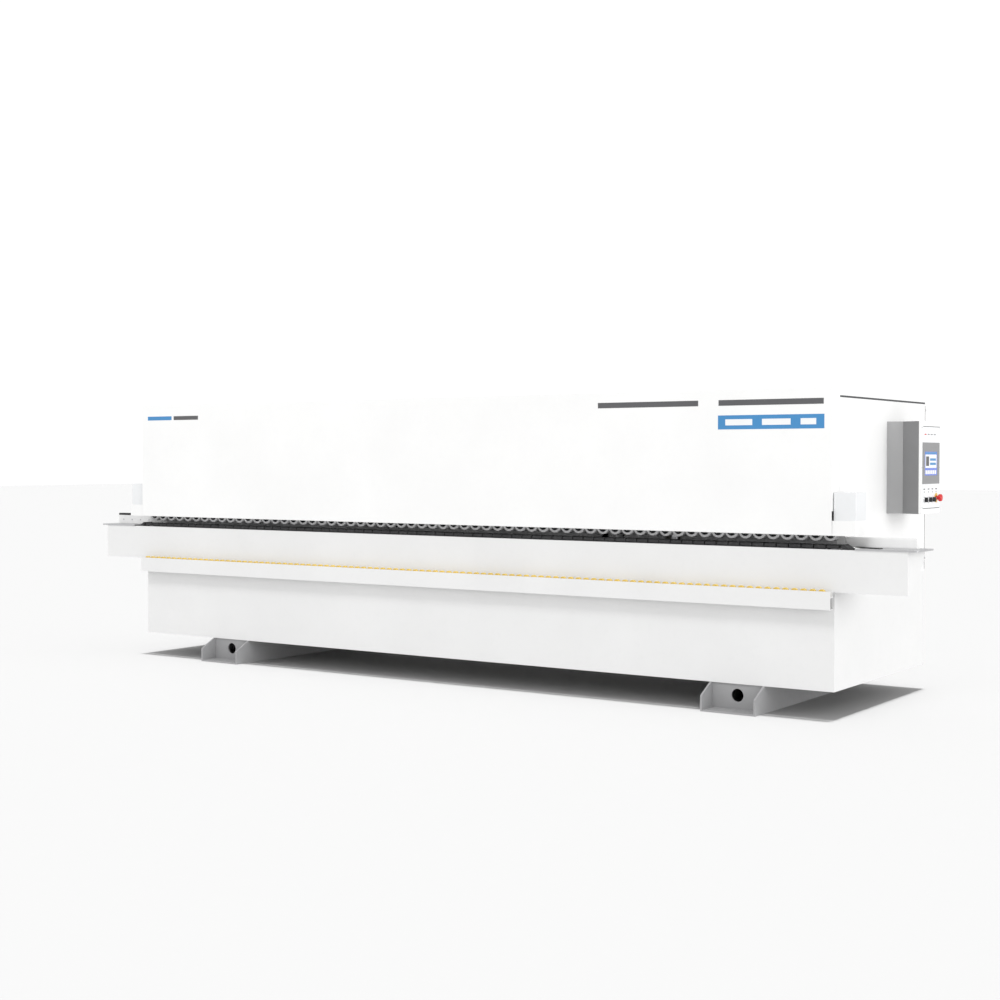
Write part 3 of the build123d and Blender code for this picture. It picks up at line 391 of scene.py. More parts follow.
# ---- Front cover -----------------------------------------------------------------------------------
class EDGEBANDER_OT_front_cover(bpy.types.Operator):
    """Fold the long front cover with its end lips and hinge ears"""
    bl_idname = "edge_bander.front_cover"
    bl_label = "Front cover"
    bl_options = {"REGISTER", "UNDO"}

    def execute(self, context):
        low, high = node_box("hood_door")
        sheet = 0.002
        lip_y, lip_z = -0.611, 1.668
        outline = [
            (low.y, low.z), (low.y, high.z), (lip_y, high.z), (lip_y, lip_z),
            (lip_y - sheet, lip_z), (lip_y - sheet, high.z - sheet),
            (low.y + sheet, high.z - sheet), (low.y + sheet, low.z),
        ]
        bm = bmesh.new()
        verts = [bm.verts.new((low.x, y, z)) for y, z in outline]
        section = bm.faces.new(verts)
        swept = bmesh.ops.extrude_face_region(bm, geom=[section])["geom"]
        shift_swept(bm, swept, (high.x - low.x, 0, 0))

        def bends(corners):
            found = []
            for edge in bm.edges:
                a, b = edge.verts
                along = abs(a.co.x - b.co.x) > 1.0
                if along and any(abs(a.co.y - y) < 1e-5 and abs(a.co.z - z) < 1e-5 for y, z in corners):
                    found.append(edge)
            return found

        radius = sizes().bend_radius
        for corners, offset in ((outline[1:3], radius), (outline[5:7], max(0.0005, radius - sheet))):
            bmesh.ops.bevel(
                bm, geom=bends(corners), offset=offset, offset_type="OFFSET", affect="EDGES",
                segments=4, profile=0.5, material=-1)
        for side in (low.x, high.x - sheet):
            add_block(bm, (side, low.y + sheet, 1.072), (side + sheet, lip_y - sheet, high.z - sheet))
        pitch = 0.94
        for i in range(6):
            x = (i - 2.5) * pitch
            hinge = Vector((x - 0.014, -0.590, 1.684))
            add_block(bm, (x - 0.014, lip_y, 1.673), (x + 0.014, hinge.y - 0.006, 1.695), 1)
            ring = [
                (0.0051, 0.0), (0.0105, 0.0), (0.011, 0.0005),
                (0.011, 0.0275), (0.0105, 0.028), (0.0051, 0.028)]
            add_turned(bm, ring, hinge, RIGHT, 1, 28)
            for dx in (-0.03, 0.03):
                add_rod(bm, 0.004, (x + dx, lip_y, 1.684), (x + dx, lip_y + 0.0025, 1.684), 1, 12, 0.003)
        add_piece("front_cover", bm, ("white_paint", "zinc"), "hood_door", "white_paint", "hood_door")
        return {"FINISHED"}


class EDGEBANDER_OT_cover_markings(bpy.types.Operator):
    """Lay plain coloured bars on the front cover where a maker's markings would be"""
    bl_idname = "edge_bander.cover_markings"
    bl_label = "Cover markings"
    bl_options = {"REGISTER", "UNDO"}

    def execute(self, context):
        face = node_box("hood_door")[0].y
        depth = sizes().marking_thickness
        bars = (
            (1.125, 1.745, 1.618, 1.648, 1), (1.865, 2.455, 1.618, 1.648, 1),
            (1.862, 2.459, 1.493, 1.567, 0), (1.905, 2.060, 1.514, 1.546, 2),
            (2.115, 2.275, 1.514, 1.546, 2), (2.330, 2.415, 1.514, 1.546, 2),
            (-2.443, -2.215, 1.600, 1.626, 0), (-2.195, -1.967, 1.600, 1.626, 1),
        )
        bm = bmesh.new()
        for left, right, bottom, top, slot in bars:
            lift = depth * (2 if slot == 2 else 1)
            add_block(bm, (left, face - lift, bottom), (right, face + 0.0001, top), slot)
        add_piece(
            "cover_markings", bm, ("label_blue", "label_grey", "panel_foil"), "hood_door", "panel_foil")
        return {"FINISHED"}


# ---- Pressure wheels -----------------------------------------------------------------------------
WHEEL_COUNT = 63
WHEEL_BODIES = (("pressure_wheel_first", "wheel_first"), ("pressure_wheel_last", "wheel_last"))


def wheel_places():
    """Axle positions of every wheel, from the infeed end."""
    first = sum(node_box("pressure_wheel_first"), Vector()) / 2
    last = sum(node_box("pressure_wheel_last"), Vector()) / 2
    return [first.lerp(last, i / (WHEEL_COUNT - 1)) for i in range(WHEEL_COUNT)]


def wheel_unit():
    """A rubber-tyred wheel about the origin, its axle along Y: tyre, dished hub and bearing cover."""
    low, high = node_box("pressure_wheel_first")
    radius, width = (high.z - low.z) / 2, high.y - low.y
    inner, edge, bore = radius - sizes().tyre_thickness, sizes().tyre_edge, 0.0081
    bm = bmesh.new()
    front = (0, -width / 2, 0)
    back = (0, 1, 0)
    add_turned(bm, [
        (inner, 0.001), (inner + 0.001, 0.0), (radius - edge, 0.0), (radius - edge * 0.3, edge * 0.3),
        (radius, edge), (radius, width - edge), (radius - edge * 0.3, width - edge * 0.3),
        (radius - edge, width), (inner + 0.001, width), (inner, width - 0.001)], front, back, 0, 44)
    # dished hub in black plastic; its black is partly the plastic's own colour and partly painted shade in
    # the wheel's hollow
    add_turned(bm, [
        (bore, 0.003), (0.014, 0.003), (0.0145, 0.0035), (0.0145, 0.010), (inner - 0.0045, 0.012),
        (inner - 0.0035, 0.002), (inner - 0.0002, 0.0015), (inner - 0.0002, width - 0.0015),
        (inner - 0.0035, width - 0.002), (inner - 0.0045, width - 0.012), (0.0145, width - 0.010),
        (0.0145, width - 0.003), (bore, width - 0.003)], front, back, 1, 36)
    for i in range(4):
        turn = math.tau * (i + 0.5) / 4
        spot = Vector((0.0195 * math.cos(turn), -width / 2, 0.0195 * math.sin(turn)))
        add_rod(bm, 0.0022, spot + Vector((0, 0.013, 0)), spot + Vector((0, 0.0085, 0)), 2, 8)
    return bm


class EDGEBANDER_OT_pressure_wheels(bpy.types.Operator):
    """Model the row of rubber-tyred pressure wheels"""
    bl_idname = "edge_bander.pressure_wheels"
    bl_label = "Pressure wheels"
    bl_options = {"REGISTER", "UNDO"}

    def execute(self, context):
        places = wheel_places()
        finishes = ("wheel_rubber", "black_plastic", "zinc")
        row = repeated(wheel_unit(), places[1:-1])
        add_piece("pressure_wheel_row", row, finishes, "pressure_beam", "wheel_rubber", "pressure_wheels")
        for (node, body), place in zip(WHEEL_BODIES, (places[0], places[-1])):
            wheel = repeated(wheel_unit(), [place])
            add_piece(f"{body}_tyre", wheel, finishes, body, "wheel_rubber", node)
        return {"FINISHED"}


class EDGEBANDER_OT_wheel_bolts(bpy.types.Operator):
    """Model the shoulder bolt of each pressure wheel, with its washer and nut"""
    bl_idname = "edge_bander.wheel_bolts"
    bl_label = "Wheel bolts"
    bl_options = {"REGISTER", "UNDO"}

    def execute(self, context):
        low, high = node_box("wheel_axles")
        middle = wheel_places()[0].y
        start, end = low.y - middle, high.y - middle
        bm = bmesh.new()
        back = (0, 1, 0)
        add_turned(bm, [
            (0.0055, 0.0), (0.0118, 0.0), (0.013, 0.0012), (0.013, 0.008), (0.008, 0.008),
            (0.008, end - start - 0.001), (0.007, end - start), (0.0, end - start), (0.0, 0.0045),
            (0.0055, 0.0045)], (0, start, 0), back, 0, 24)
        nut_start = end - 0.010
        add_rod(bm, 0.013, (0, nut_start, 0), (0, nut_start + 0.008, 0), 0, 6, 0.0124)
        row = repeated(bm, wheel_places())
        add_piece("wheel_bolt_row", row, ("zinc",), "pressure_beam", "zinc", "wheel_axles")
        return {"FINISHED"}


# ---- Track ---------------------------------------------------------------------------------------
def pad_unit(up):
    """One track pad about its own centre in X, on the run above (up = 1) or below (up = -1)."""
    node = "track_pads_upper" if up > 0 else "track_pads_return"
    low, high = node_box(node)
    pitch, gap, thickness = 0.0691, 0.006, 0.0185
    half_pad = (pitch - gap) / 2
    rib = sizes().pad_rib_height
    outer = high.z if up > 0 else low.z
    inner = outer - up * thickness
    floor_z = outer - up * rib
    bm = bmesh.new()
    z = sorted((inner, floor_z))
    add_block(bm, (-half_pad, low.y, z[0]), (half_pad, high.y, z[1]), 0, 0.0012, 2)
    count = sizes().pad_rib_count
    rib_pitch = (high.y - low.y - 0.006) / count
    z = sorted((floor_z - up * 0.001, outer))
    for i in range(count):
        y = low.y + 0.003 + (i + 0.15) * rib_pitch
        rib_end = (half_pad - 0.002, y + rib_pitch * 0.7, z[1])
        add_block(bm, (-half_pad + 0.002, y, z[0]), rib_end, 0, 0.0008, 1)
    carrier = half_pad - 0.010
    middle = (low.y + high.y) / 2
    z = sorted((inner, inner - up * 0.016))
    add_block(bm, (-carrier, middle - 0.011, z[0]), (carrier, middle + 0.011, z[1]), 1, 0.0008, 1)
    for x in (-0.014, 0.014):
        spot = Vector((x, middle - 0.013, (z[0] + z[1]) / 2))
        add_rod(bm, 0.004, spot, spot + Vector((0, 0.026, 0)), 2, 12)
    return bm


class EDGEBANDER_OT_track_pads(bpy.types.Operator):
    """Model the ribbed rubber pads of both runs of the track, on their steel carriers"""
    bl_idname = "edge_bander.track_pads"
    bl_label = "Track pads"
    bl_options = {"REGISTER", "UNDO"}

    def execute(self, context):
        runs = (("track_pads_upper", "track_upper", 1), ("track_pads_return", "track_return", -1))
        for node, body, up in runs:
            low, high = node_box(node)
            pitch, gap = 0.0691, 0.006
            count = round((high.x - low.x + gap) / pitch)
            first = low.x + (pitch - gap) / 2
            run = repeated(pad_unit(up), [(first + i * pitch, 0, 0) for i in range(count)])
            add_piece(f"{node}_ribbed", run, ("pad_rubber", "zinc", "bright_steel"), body, "pad_rubber", node)
        return {"FINISHED"}


# ---- Support beam rollers ------------------------------------------------------------------------
class EDGEBANDER_OT_support_rollers(bpy.types.Operator):
    """Model the small plastic rollers along the board support beam, with their pins"""
    bl_idname = "edge_bander.support_rollers"
    bl_label = "Support rollers"
    bl_options = {"REGISTER", "UNDO"}

    def execute(self, context):
        low, high = node_box("support_rollers")
        pitch, radius = 0.05, (high.z - low.z) / 2
        width = high.y - low.y
        count = round((high.x - low.x - 2 * radius) / pitch) + 1
        bm = bmesh.new()
        back = (0, 1, 0)
        add_turned(bm, [
            (0.0045, 0.0), (0.008, 0.0), (0.0085, 0.0015), (radius - 0.0035, 0.0015), (radius - 0.003, 0.0),
            (radius - 0.001, 0.0), (radius, 0.001), (radius, width - 0.001), (radius - 0.001, width),
            (0.0045, width)], (0, 0, 0), back, 0, 28)
        add_rod(bm, 0.0044, (0, -0.0008, 0), (0, width + 0.0008, 0), 1, 12)
        places = [(low.x + radius + i * pitch, low.y, low.z + radius) for i in range(count)]
        add_piece(
            "support_roller_row", repeated(bm, places), ("yellow_plastic", "zinc"), "support_beam",
            "yellow_plastic", "support_rollers")
        return {"FINISHED"}


# ---- Guard wall ----------------------------------------------------------------------------------
class EDGEBANDER_OT_strip_curtain(bpy.types.Operator):
    """Hang the rubber strips that close the guard wall's windows, parted round the two rollers"""
    bl_idname = "edge_bander.strip_curtain"
    bl_label = "Strip curtain"
    bl_options = {"REGISTER", "UNDO"}

    def execute(self, context):
        wall = node_box("tool_wall")[0].y
        rollers = [node_box(name) for name in ("glue_roller", "press_roller")]
        windows = [(low.x + high.x) / 2 for low, high in rollers]
        for name in ("trim_cutter_top", "buffing_wheel"):
            low, high = node_box(name)
            windows.append((low.x + high.x) / 2)
        windows[2] -= 0.06  # the window is centred between the two trimming cutters
        windows.append(END_SAW_AXIS[0])
        strip, gap = 0.0232, 0.0008
        bm = bmesh.new()
        for middle in windows:
            for i in range(-5, 5):
                left = middle + i * (strip + gap)
                right = left + strip
                if any(left < high.x + 0.004 and right > low.x - 0.004 for low, high in rollers):
                    continue
                add_block(bm, (left, wall - 0.0032, 0.888), (right, wall - 0.0012, 1.028), 0, 0.0004, 1)
            clamp = (middle + 0.122, wall - 0.0030, 1.030)
            add_block(bm, (middle - 0.122, wall - 0.0044, 1.016), clamp, 1, 0.0003, 1)
            for dx in (-0.1, 0.0, 0.1):
                spot = Vector((middle + dx, wall - 0.0044, 1.023))
                add_rod(bm, 0.0035, spot, spot - Vector((0, 0.0016, 0)), 1, 12, 0.0028)
        add_piece("strip_curtain", bm, ("curtain_rubber", "guard_paint"), "machine", "pad_rubber")
        return {"FINISHED"}


class EDGEBANDER_OT_black_strips(bpy.types.Operator):
    """Lay a black strip on the infeed table and thin black strips behind the end walls"""
    bl_idname = "edge_bander.seals"
    bl_label = "Black strips at table and end walls"
    bl_options = {"REGISTER", "UNDO"}

    def execute(self, context):
        low, high = node_box("table_plates")
        bm = bmesh.new()
        # a flat black quad, 4 mm thick, on the infeed table, then a black strip behind each end wall's rear
        # edge, 0.6 mm proud of its face
        corners = ((2.575, -0.588), (2.722, -0.640), (2.731, -0.612), (2.589, -0.560))
        verts = [bm.verts.new((x, y, high.z)) for x, y in corners]
        swept = bmesh.ops.extrude_face_region(bm, geom=[bm.faces.new(verts)])["geom"]
        shift_swept(bm, swept, (0, 0, 0.004))
        for side, name in ((1, "end_wall_right"), (-1, "end_wall_left")):
            low, high = node_box(name)
            face = high.x if side > 0 else low.x
            x = sorted((face - side * 0.010, face + side * 0.0006))
            add_block(bm, (x[0], high.y, low.z + 0.01), (x[1], high.y + 0.004, high.z - 0.01), 0)
        add_piece("table_and_end_wall_black_strips", bm, ("black_plastic",), "machine", "black_plastic")
        return {"FINISHED"}


# ---- Guides --------------------------------------------------------------------------------------
class EDGEBANDER_OT_guide_strips(bpy.types.Operator):
    """Model the black strip on the outfeed guide, the white strip on the infeed fence and the screws that
    hold them
    """
    bl_idname = "edge_bander.guide_strips"
    bl_label = "Guide strips"
    bl_options = {"REGISTER", "UNDO"}

    def execute(self, context):
        low, high = node_box("outfeed_guide")
        bm = bmesh.new()
        # plain black blocks along the outfeed guide's top, 14 mm high for its first 0.11 m and 5 mm after
        # that
        add_block(bm, (low.x, low.y, high.z), (low.x + 0.11, high.y, high.z + 0.014), 0, 0.0015)
        add_block(bm, (low.x + 0.11, low.y, high.z), (high.x, high.y, high.z + 0.005), 0, 0.001)
        for i in range(5):
            x = low.x + 0.05 + i * 0.085
            add_rod(bm, 0.005, (x, low.y, high.z - 0.030), (x, low.y - 0.003, high.z - 0.030), 1, 16, 0.0042)
        add_piece("outfeed_guide_strip", bm, ("black_plastic", "zinc"), "machine", "black_plastic")
        low, high = node_box("infeed_fence")
        bm = bmesh.new()
        add_block(bm, (low.x, low.y - 0.0015, low.z + 0.004), (high.x, low.y, high.z - 0.004), 0, 0.0005, 1)
        for i in range(5):
            x = low.x + 0.05 + i * 0.07
            spot = Vector((x, high.y, high.z - 0.025))
            add_rod(bm, 0.005, spot, spot + Vector((0, 0.003, 0)), 1, 16, 0.0042)
        add_piece("infeed_fence_strip", bm, ("white_paint", "zinc"), "machine", "white_paint")
        return {"FINISHED"}


# ---- Console -------------------------------------------------------------------------------------
class EDGEBANDER_OT_console_panel(bpy.types.Operator):
    """Model the printed operating panel, its seal and its key legends"""
    bl_idname = "edge_bander.console_panel"
    bl_label = "Console panel"
    bl_options = {"REGISTER", "UNDO"}

    def execute(self, context):
        low, high = node_box("console_panel")
        screen_low, screen_high = node_box("console_screen")
        bm = bmesh.new()
        add_block(bm, low, high)
        for cut, axis in (
                (1.201, UP), (1.427, UP), (screen_low.z, UP), (screen_high.z, UP),
                (screen_low.y, FRONT), (screen_high.y, FRONT)):
            normal = Vector(axis)
            point = Vector((0, cut, 0)) if axis == FRONT else Vector((0, 0, cut))
            bmesh.ops.bisect_plane(
                bm, geom=bm.verts[:] + bm.edges[:] + bm.faces[:], plane_co=point, plane_no=normal)
        window = []
        for face in bm.faces:
            centre = face.calc_center_median()
            face.material_index = 1 if 1.201 < centre.z < 1.427 else 0
            inside = screen_low.y < centre.y < screen_high.y and screen_low.z < centre.z < screen_high.z
            if inside and centre.x > high.x - 1e-4:
                window.append(face)
        recess = bmesh.ops.extrude_face_region(bm, geom=window)["geom"]
        bmesh.ops.delete(bm, geom=window, context="FACES_ONLY")
        shift_swept(bm, recess, (-0.0024, 0, 0))
        face_x = high.x
        for z in (low.z, high.z - 0.003):
            add_block(bm, (face_x - 0.0001, low.y, z), (face_x + 0.0006, high.y, z + 0.003), 2)
        for y in (0.081, 0.150, 0.212, 0.274):
            add_block(bm, (face_x - 0.0001, y - 0.012, 1.171), (face_x + 0.0004, y + 0.012, 1.176), 2)
            add_block(bm, (face_x - 0.0001, y - 0.004, 1.154), (face_x + 0.0004, y + 0.004, 1.162), 1)
        for i in range(4):
            y = 0.080 + i * 0.050
            lamp_end = (face_x + 0.0004, y + 0.030, 1.474)
            add_block(bm, (face_x - 0.0001, y, 1.468), lamp_end, 4 if i == 0 else 1)
        add_rod(bm, 0.027, (face_x - 0.0001, 0.274, 1.124), (face_x + 0.0006, 0.274, 1.124), 3, 40)
        add_piece(
            "console_panel_foil", bm,
            ("panel_foil", "panel_band", "black_plastic", "yellow_plastic", "red_plastic"),
            "machine", "panel_foil", "console_panel")
        return {"FINISHED"}


class EDGEBANDER_OT_console_screen(bpy.types.Operator):
    """Model the touch screen with a plain page of fields and buttons"""
    bl_idname = "edge_bander.console_screen"
    bl_label = "Console screen"
    bl_options = {"REGISTER", "UNDO"}

    def execute(self, context):
        low, high = node_box("console_screen")
        low.x = high.x - 0.0017
        bm = bmesh.new()
        add_block(bm, low, high, 0, 0.0004, 1)
        face, layer = high.x, 0.0002
        width, height = high.y - low.y, high.z - low.z

        def field(left, right, bottom, top, slot):
            add_block(
                bm, (face - 0.0001, low.y + left * width, low.z + bottom * height),
                (face + layer, low.y + right * width, low.z + top * height), slot)

        field(0.05, 0.95, 0.32, 0.88, 1)
        field(0.05, 0.95, 0.90, 0.97, 2)
        for i in range(6):
            field(0.06 + i * 0.15, 0.18 + i * 0.15, 0.06, 0.22, 1)
        face += layer
        field(0.42, 0.90, 0.62, 0.72, 2)
        field(0.42, 0.90, 0.44, 0.54, 2)
        field(0.10, 0.34, 0.40, 0.80, 3)
        add_piece(
            "console_screen_page", bm, ("screen_glass", "panel_foil", "label_blue", "label_grey"),
            "machine", "screen_glass", "console_screen")
        return {"FINISHED"}


def selector_shape(y, z, face):
    """Rotary selector on the panel face: plated collar, waisted grip and a white pointer line."""
    bm = bmesh.new()
    add_turned(bm, [
        (0.0, -0.020), (0.0109, -0.020), (0.0109, 0.0004), (0.016, 0.0004), (0.016, 0.0042),
        (0.0152, 0.0055), (0.0142, 0.006), (0.0, 0.006)], (face, y, z), RIGHT, 2, 40)
    add_block(bm, (face + 0.0059, y - 0.003, z - 0.013), (face + 0.022, y + 0.003, z + 0.013), 0, 0.0012, 3)
    add_block(bm, (face + 0.0219, y - 0.0006, z + 0.004), (face + 0.0222, y + 0.0006, z + 0.0135), 1)
    return bm


class EDGEBANDER_OT_console_controls(bpy.types.Operator):
    """Model the three selectors and the emergency stop of the console"""
    bl_idname = "edge_bander.console_controls"
    bl_label = "Console controls"
    bl_options = {"REGISTER", "UNDO"}

    def execute(self, context):
        face = node_box("console_panel")[1].x
        for side in ("left", "middle", "right"):
            node = f"selector_{side}"
            low, high = node_box(node)
            middle = (low + high) / 2
            bm = selector_shape(middle.y, middle.z, face)
            finishes = ("black_plastic", "panel_foil", "aluminium")
            add_piece(f"{node}_grip", bm, finishes, node, "black_plastic", node)
        low, high = node_box("emergency_stop")
        middle = (low + high) / 2
        bm = bmesh.new()
        stem = face + 0.016 - high.x
        add_turned(bm, [
            (0.0, low.x - high.x), (0.0109, low.x - high.x), (0.0109, stem - 0.001), (0.0125, stem),
            (0.0185, stem), (0.020, stem + 0.0015), (0.020, -0.007), (0.0188, -0.0035), (0.0165, -0.0012),
            (0.013, -0.0002), (0.0, 0.0)], (high.x, middle.y, middle.z), RIGHT, 0, 48)
        add_piece(
            "emergency_stop_head", bm, ("red_plastic",), "emergency_stop", "red_plastic", "emergency_stop")
        return {"FINISHED"}


# ---- Lifting gear --------------------------------------------------------------------------------
class EDGEBANDER_OT_lift_screws(bpy.types.Operator):
    """Cut the thread of the two lifting screws"""
    bl_idname = "edge_bander.lift_screws"
    bl_label = "Lifting screws"
    bl_options = {"REGISTER", "UNDO"}

    def execute(self, context):
        for side in ("right", "left"):
            node = f"lift_screw_{side}"
            low, high = node_box(node)
            middle = (low + high) / 2
            radius, pitch = 0.015, sizes().thread_pitch
            length = high.z - low.z
            thread_start, thread_end = 0.030, length - 0.090
            outline = [(0.0, 0.0), (radius - 0.001, 0.0), (radius, 0.001), (radius, thread_start)]
            turns = int((thread_end - thread_start) / pitch)
            for i in range(turns):
                z = thread_start + i * pitch
                outline += [(radius - 0.0022, z + pitch * 0.25), (radius - 0.0022, z + pitch * 0.5),
                            (radius, z + pitch * 0.75), (radius, z + pitch)]
            collar = 1.5564 - low.z
            outline += [(radius, collar), (radius + 0.007, collar), (radius + 0.008, collar + 0.001),
                        (radius + 0.008, collar + 0.0146), (radius + 0.007, collar + 0.0156),
                        (radius, collar + 0.0156), (radius, length), (0.0, length)]
            bm = bmesh.new()
            add_turned(bm, outline, (middle.x, middle.y, low.z), UP, 0, 28)
            add_piece(f"{node}_thread", bm, ("bright_steel",), node, "bright_steel", node)
        return {"FINISHED"}


# ---- Working units -------------------------------------------------------------------------------
END_SAW_AXIS = (0.42, 0.96)  # X and Z of the end saw motor
MOTOR_RADIUS = 0.038


class EDGEBANDER_OT_tape_reel(bpy.types.Operator):
    """Wind the reel of edging tape between its two flanges"""
    bl_idname = "edge_bander.tape_reel"
    bl_label = "Tape reel"
    bl_options = {"REGISTER", "UNDO"}

    def execute(self, context):
        low, high = node_box("tape_reel")
        centre = Vector(((low.x + high.x) / 2, (low.y + high.y) / 2, low.z))
        height, radius = high.z - low.z, (high.x - low.x) / 2
        bm = bmesh.new()
        for z in (0.0, height - 0.005):
            add_turned(bm, [
                (0.075, z), (radius - 0.001, z), (radius, z + 0.001), (radius, z + 0.004),
                (radius - 0.001, z + 0.005), (0.075, z + 0.005)], centre, UP, 1, 96)
        add_turned(bm, [
            (0.0201, 0.0), (0.075, 0.0), (0.075, height), (0.0201, height)], centre, UP, 2, 48)
        layers = 14
        outline = [(0.075, 0.0055), (0.24, 0.0055)]
        for i in range(1, layers):
            outline.append((0.24 + 0.001 * (i % 2), 0.0055 + (height - 0.011) * i / layers))
        outline += [(0.24, height - 0.0055), (0.075, height - 0.0055)]
        add_turned(bm, outline, centre, UP, 0, 96)
        finishes = ("tape", "aluminium", "black_plastic")
        add_piece("tape_reel_wound", bm, finishes, "tape_reel", "tape", "tape_reel")
        return {"FINISHED"}


class EDGEBANDER_OT_cutter_heads(bpy.types.Operator):
    """Model the toothed trimming cutters and the stitched buffing wheel"""
    bl_idname = "edge_bander.cutter_heads"
    bl_label = "Cutters and buffing wheel"
    bl_options = {"REGISTER", "UNDO"}

    def execute(self, context):
        back = (0, 1, 0)
        for node in ("trim_cutter_top", "trim_cutter_bottom"):
            low, high = node_box(node)
            middle = (low + high) / 2
            radius = (high.x - low.x) / 2
            start = Vector((middle.x, low.y, middle.z))
            bm = bmesh.new()
            add_turned(bm, [
                (0.005, 0.004), (0.010, 0.004), (0.011, 0.0), (radius - 0.008, 0.0), (radius - 0.006, 0.002),
                (radius - 0.004, 0.013), (radius - 0.006, 0.024), (radius - 0.008, 0.026), (0.008, 0.026),
                (0.008, high.y - low.y), (0.0, high.y - low.y), (0.0, 0.010), (0.005, 0.010)],
                start, back, 0, 32)
            for i in range(4):
                turn = Matrix.Rotation(math.tau * i / 4, 4, "Y")
                blade = add_block(
                    bm, (-0.003, 0.0015, radius - 0.012), (0.003, 0.0245, radius - 0.0008), 1, 0.0006, 1)
                bmesh.ops.transform(bm, matrix=Matrix.Translation(start) @ turn, verts=blade)
            add_piece(f"{node}_teeth", bm, ("blade_steel", "bright_steel"), node, "blade_steel", node)
        low, high = node_box("buffing_wheel")
        middle = (low + high) / 2
        radius, depth = (high.x - low.x) / 2, 0.030
        start = Vector((middle.x, low.y, middle.z))
        outline = [(0.020, 0.001)]
        discs = 6
        for i in range(discs):
            z = depth * i / discs
            outline += [(radius - 0.002, z + 0.0002), (radius, z + depth / discs * 0.3),
                        (radius, z + depth / discs * 0.7), (radius - 0.002, z + depth / discs - 0.0002)]
        outline += [(0.020, depth - 0.001)]
        bm = bmesh.new()
        add_turned(bm, outline, start, back, 0, 64)
        add_turned(bm, [
            (0.0, 0.0), (0.012, 0.0), (0.013, 0.001), (0.020, 0.001), (0.020, depth - 0.001), (0.008, depth),
            (0.008, high.y - low.y), (0.0, high.y - low.y)], start, back, 1, 32)
        add_piece("buffing_wheel_discs", bm, ("felt", "zinc"), "buffing_wheel", "felt", "buffing_wheel")
        return {"FINISHED"}


class EDGEBANDER_OT_motor_fins(bpy.types.Operator):
    """Set the cooling ribs round the spindle motors"""
    bl_idname = "edge_bander.motor_fins"
    bl_label = "Motor fins"
    bl_options = {"REGISTER", "UNDO"}

    def execute(self, context):
        low = node_box("unit_motors")[0]
        top_cutter, lower_cutter, buffer = (
            (a + b) / 2 for a, b in map(node_box, ("trim_cutter_top", "trim_cutter_bottom", "buffing_wheel")))
        bm = bmesh.new()
        count, radius = sizes().fin_count, MOTOR_RADIUS
        axes = [(spindle.x, spindle.z) for spindle in (top_cutter, lower_cutter, buffer)]
        for x, z in (*axes, END_SAW_AXIS):
            for i in range(count):
                turn = math.tau * i / count
                fin = add_block(
                    bm, (-0.0012, low.y + 0.010, radius - 0.001), (0.0012, low.y + 0.090, radius + 0.004))
                place = Matrix.Translation((x, 0, z)) @ Matrix.Rotation(turn, 4, "Y")
                bmesh.ops.transform(bm, matrix=place, verts=fin)
        add_piece("motor_fin_rows", bm, ("motor_paint",), "machine", "motor_paint")
        return {"FINISHED"}


class EDGEBANDER_OT_glue_lid(bpy.types.Operator):
    """Model the lid of the glue pot with its knob, rim and knuckle"""
    bl_idname = "edge_bander.glue_lid"
    bl_label = "Glue pot lid"
    bl_options = {"REGISTER", "UNDO"}

    def execute(self, context):
        low, high = node_box("glue_lid")
        centre_x = (low.x + high.x) / 2
        plate_top = 1.086
        bm = bmesh.new()
        add_block(bm, (low.x, low.y, 1.0804), (high.x, -0.320, plate_top), 0, 0.0012)
        add_block(bm, (centre_x - 0.030, -0.3205, 1.0804), (centre_x + 0.030, -0.309, plate_top), 0)
        add_turned(bm, [
            (0.0051, 0.0), (0.0088, 0.0), (0.009, 0.0005), (0.009, 0.0595), (0.0088, 0.06), (0.0051, 0.06)],
            (centre_x - 0.030, -0.306, 1.080), RIGHT, 0, 28)
        add_turned(bm, [
            (0.0, 0.0), (0.007, 0.0), (0.006, 0.006), (0.011, 0.011), (0.012, 0.015), (0.0105, 0.0185),
            (0.006, 0.020), (0.0, 0.020)], (centre_x, -0.430, plate_top), UP, 1, 32)
        add_piece("glue_lid_plate", bm, ("aluminium", "black_plastic"), "glue_lid", "aluminium", "glue_lid")
        return {"FINISHED"}


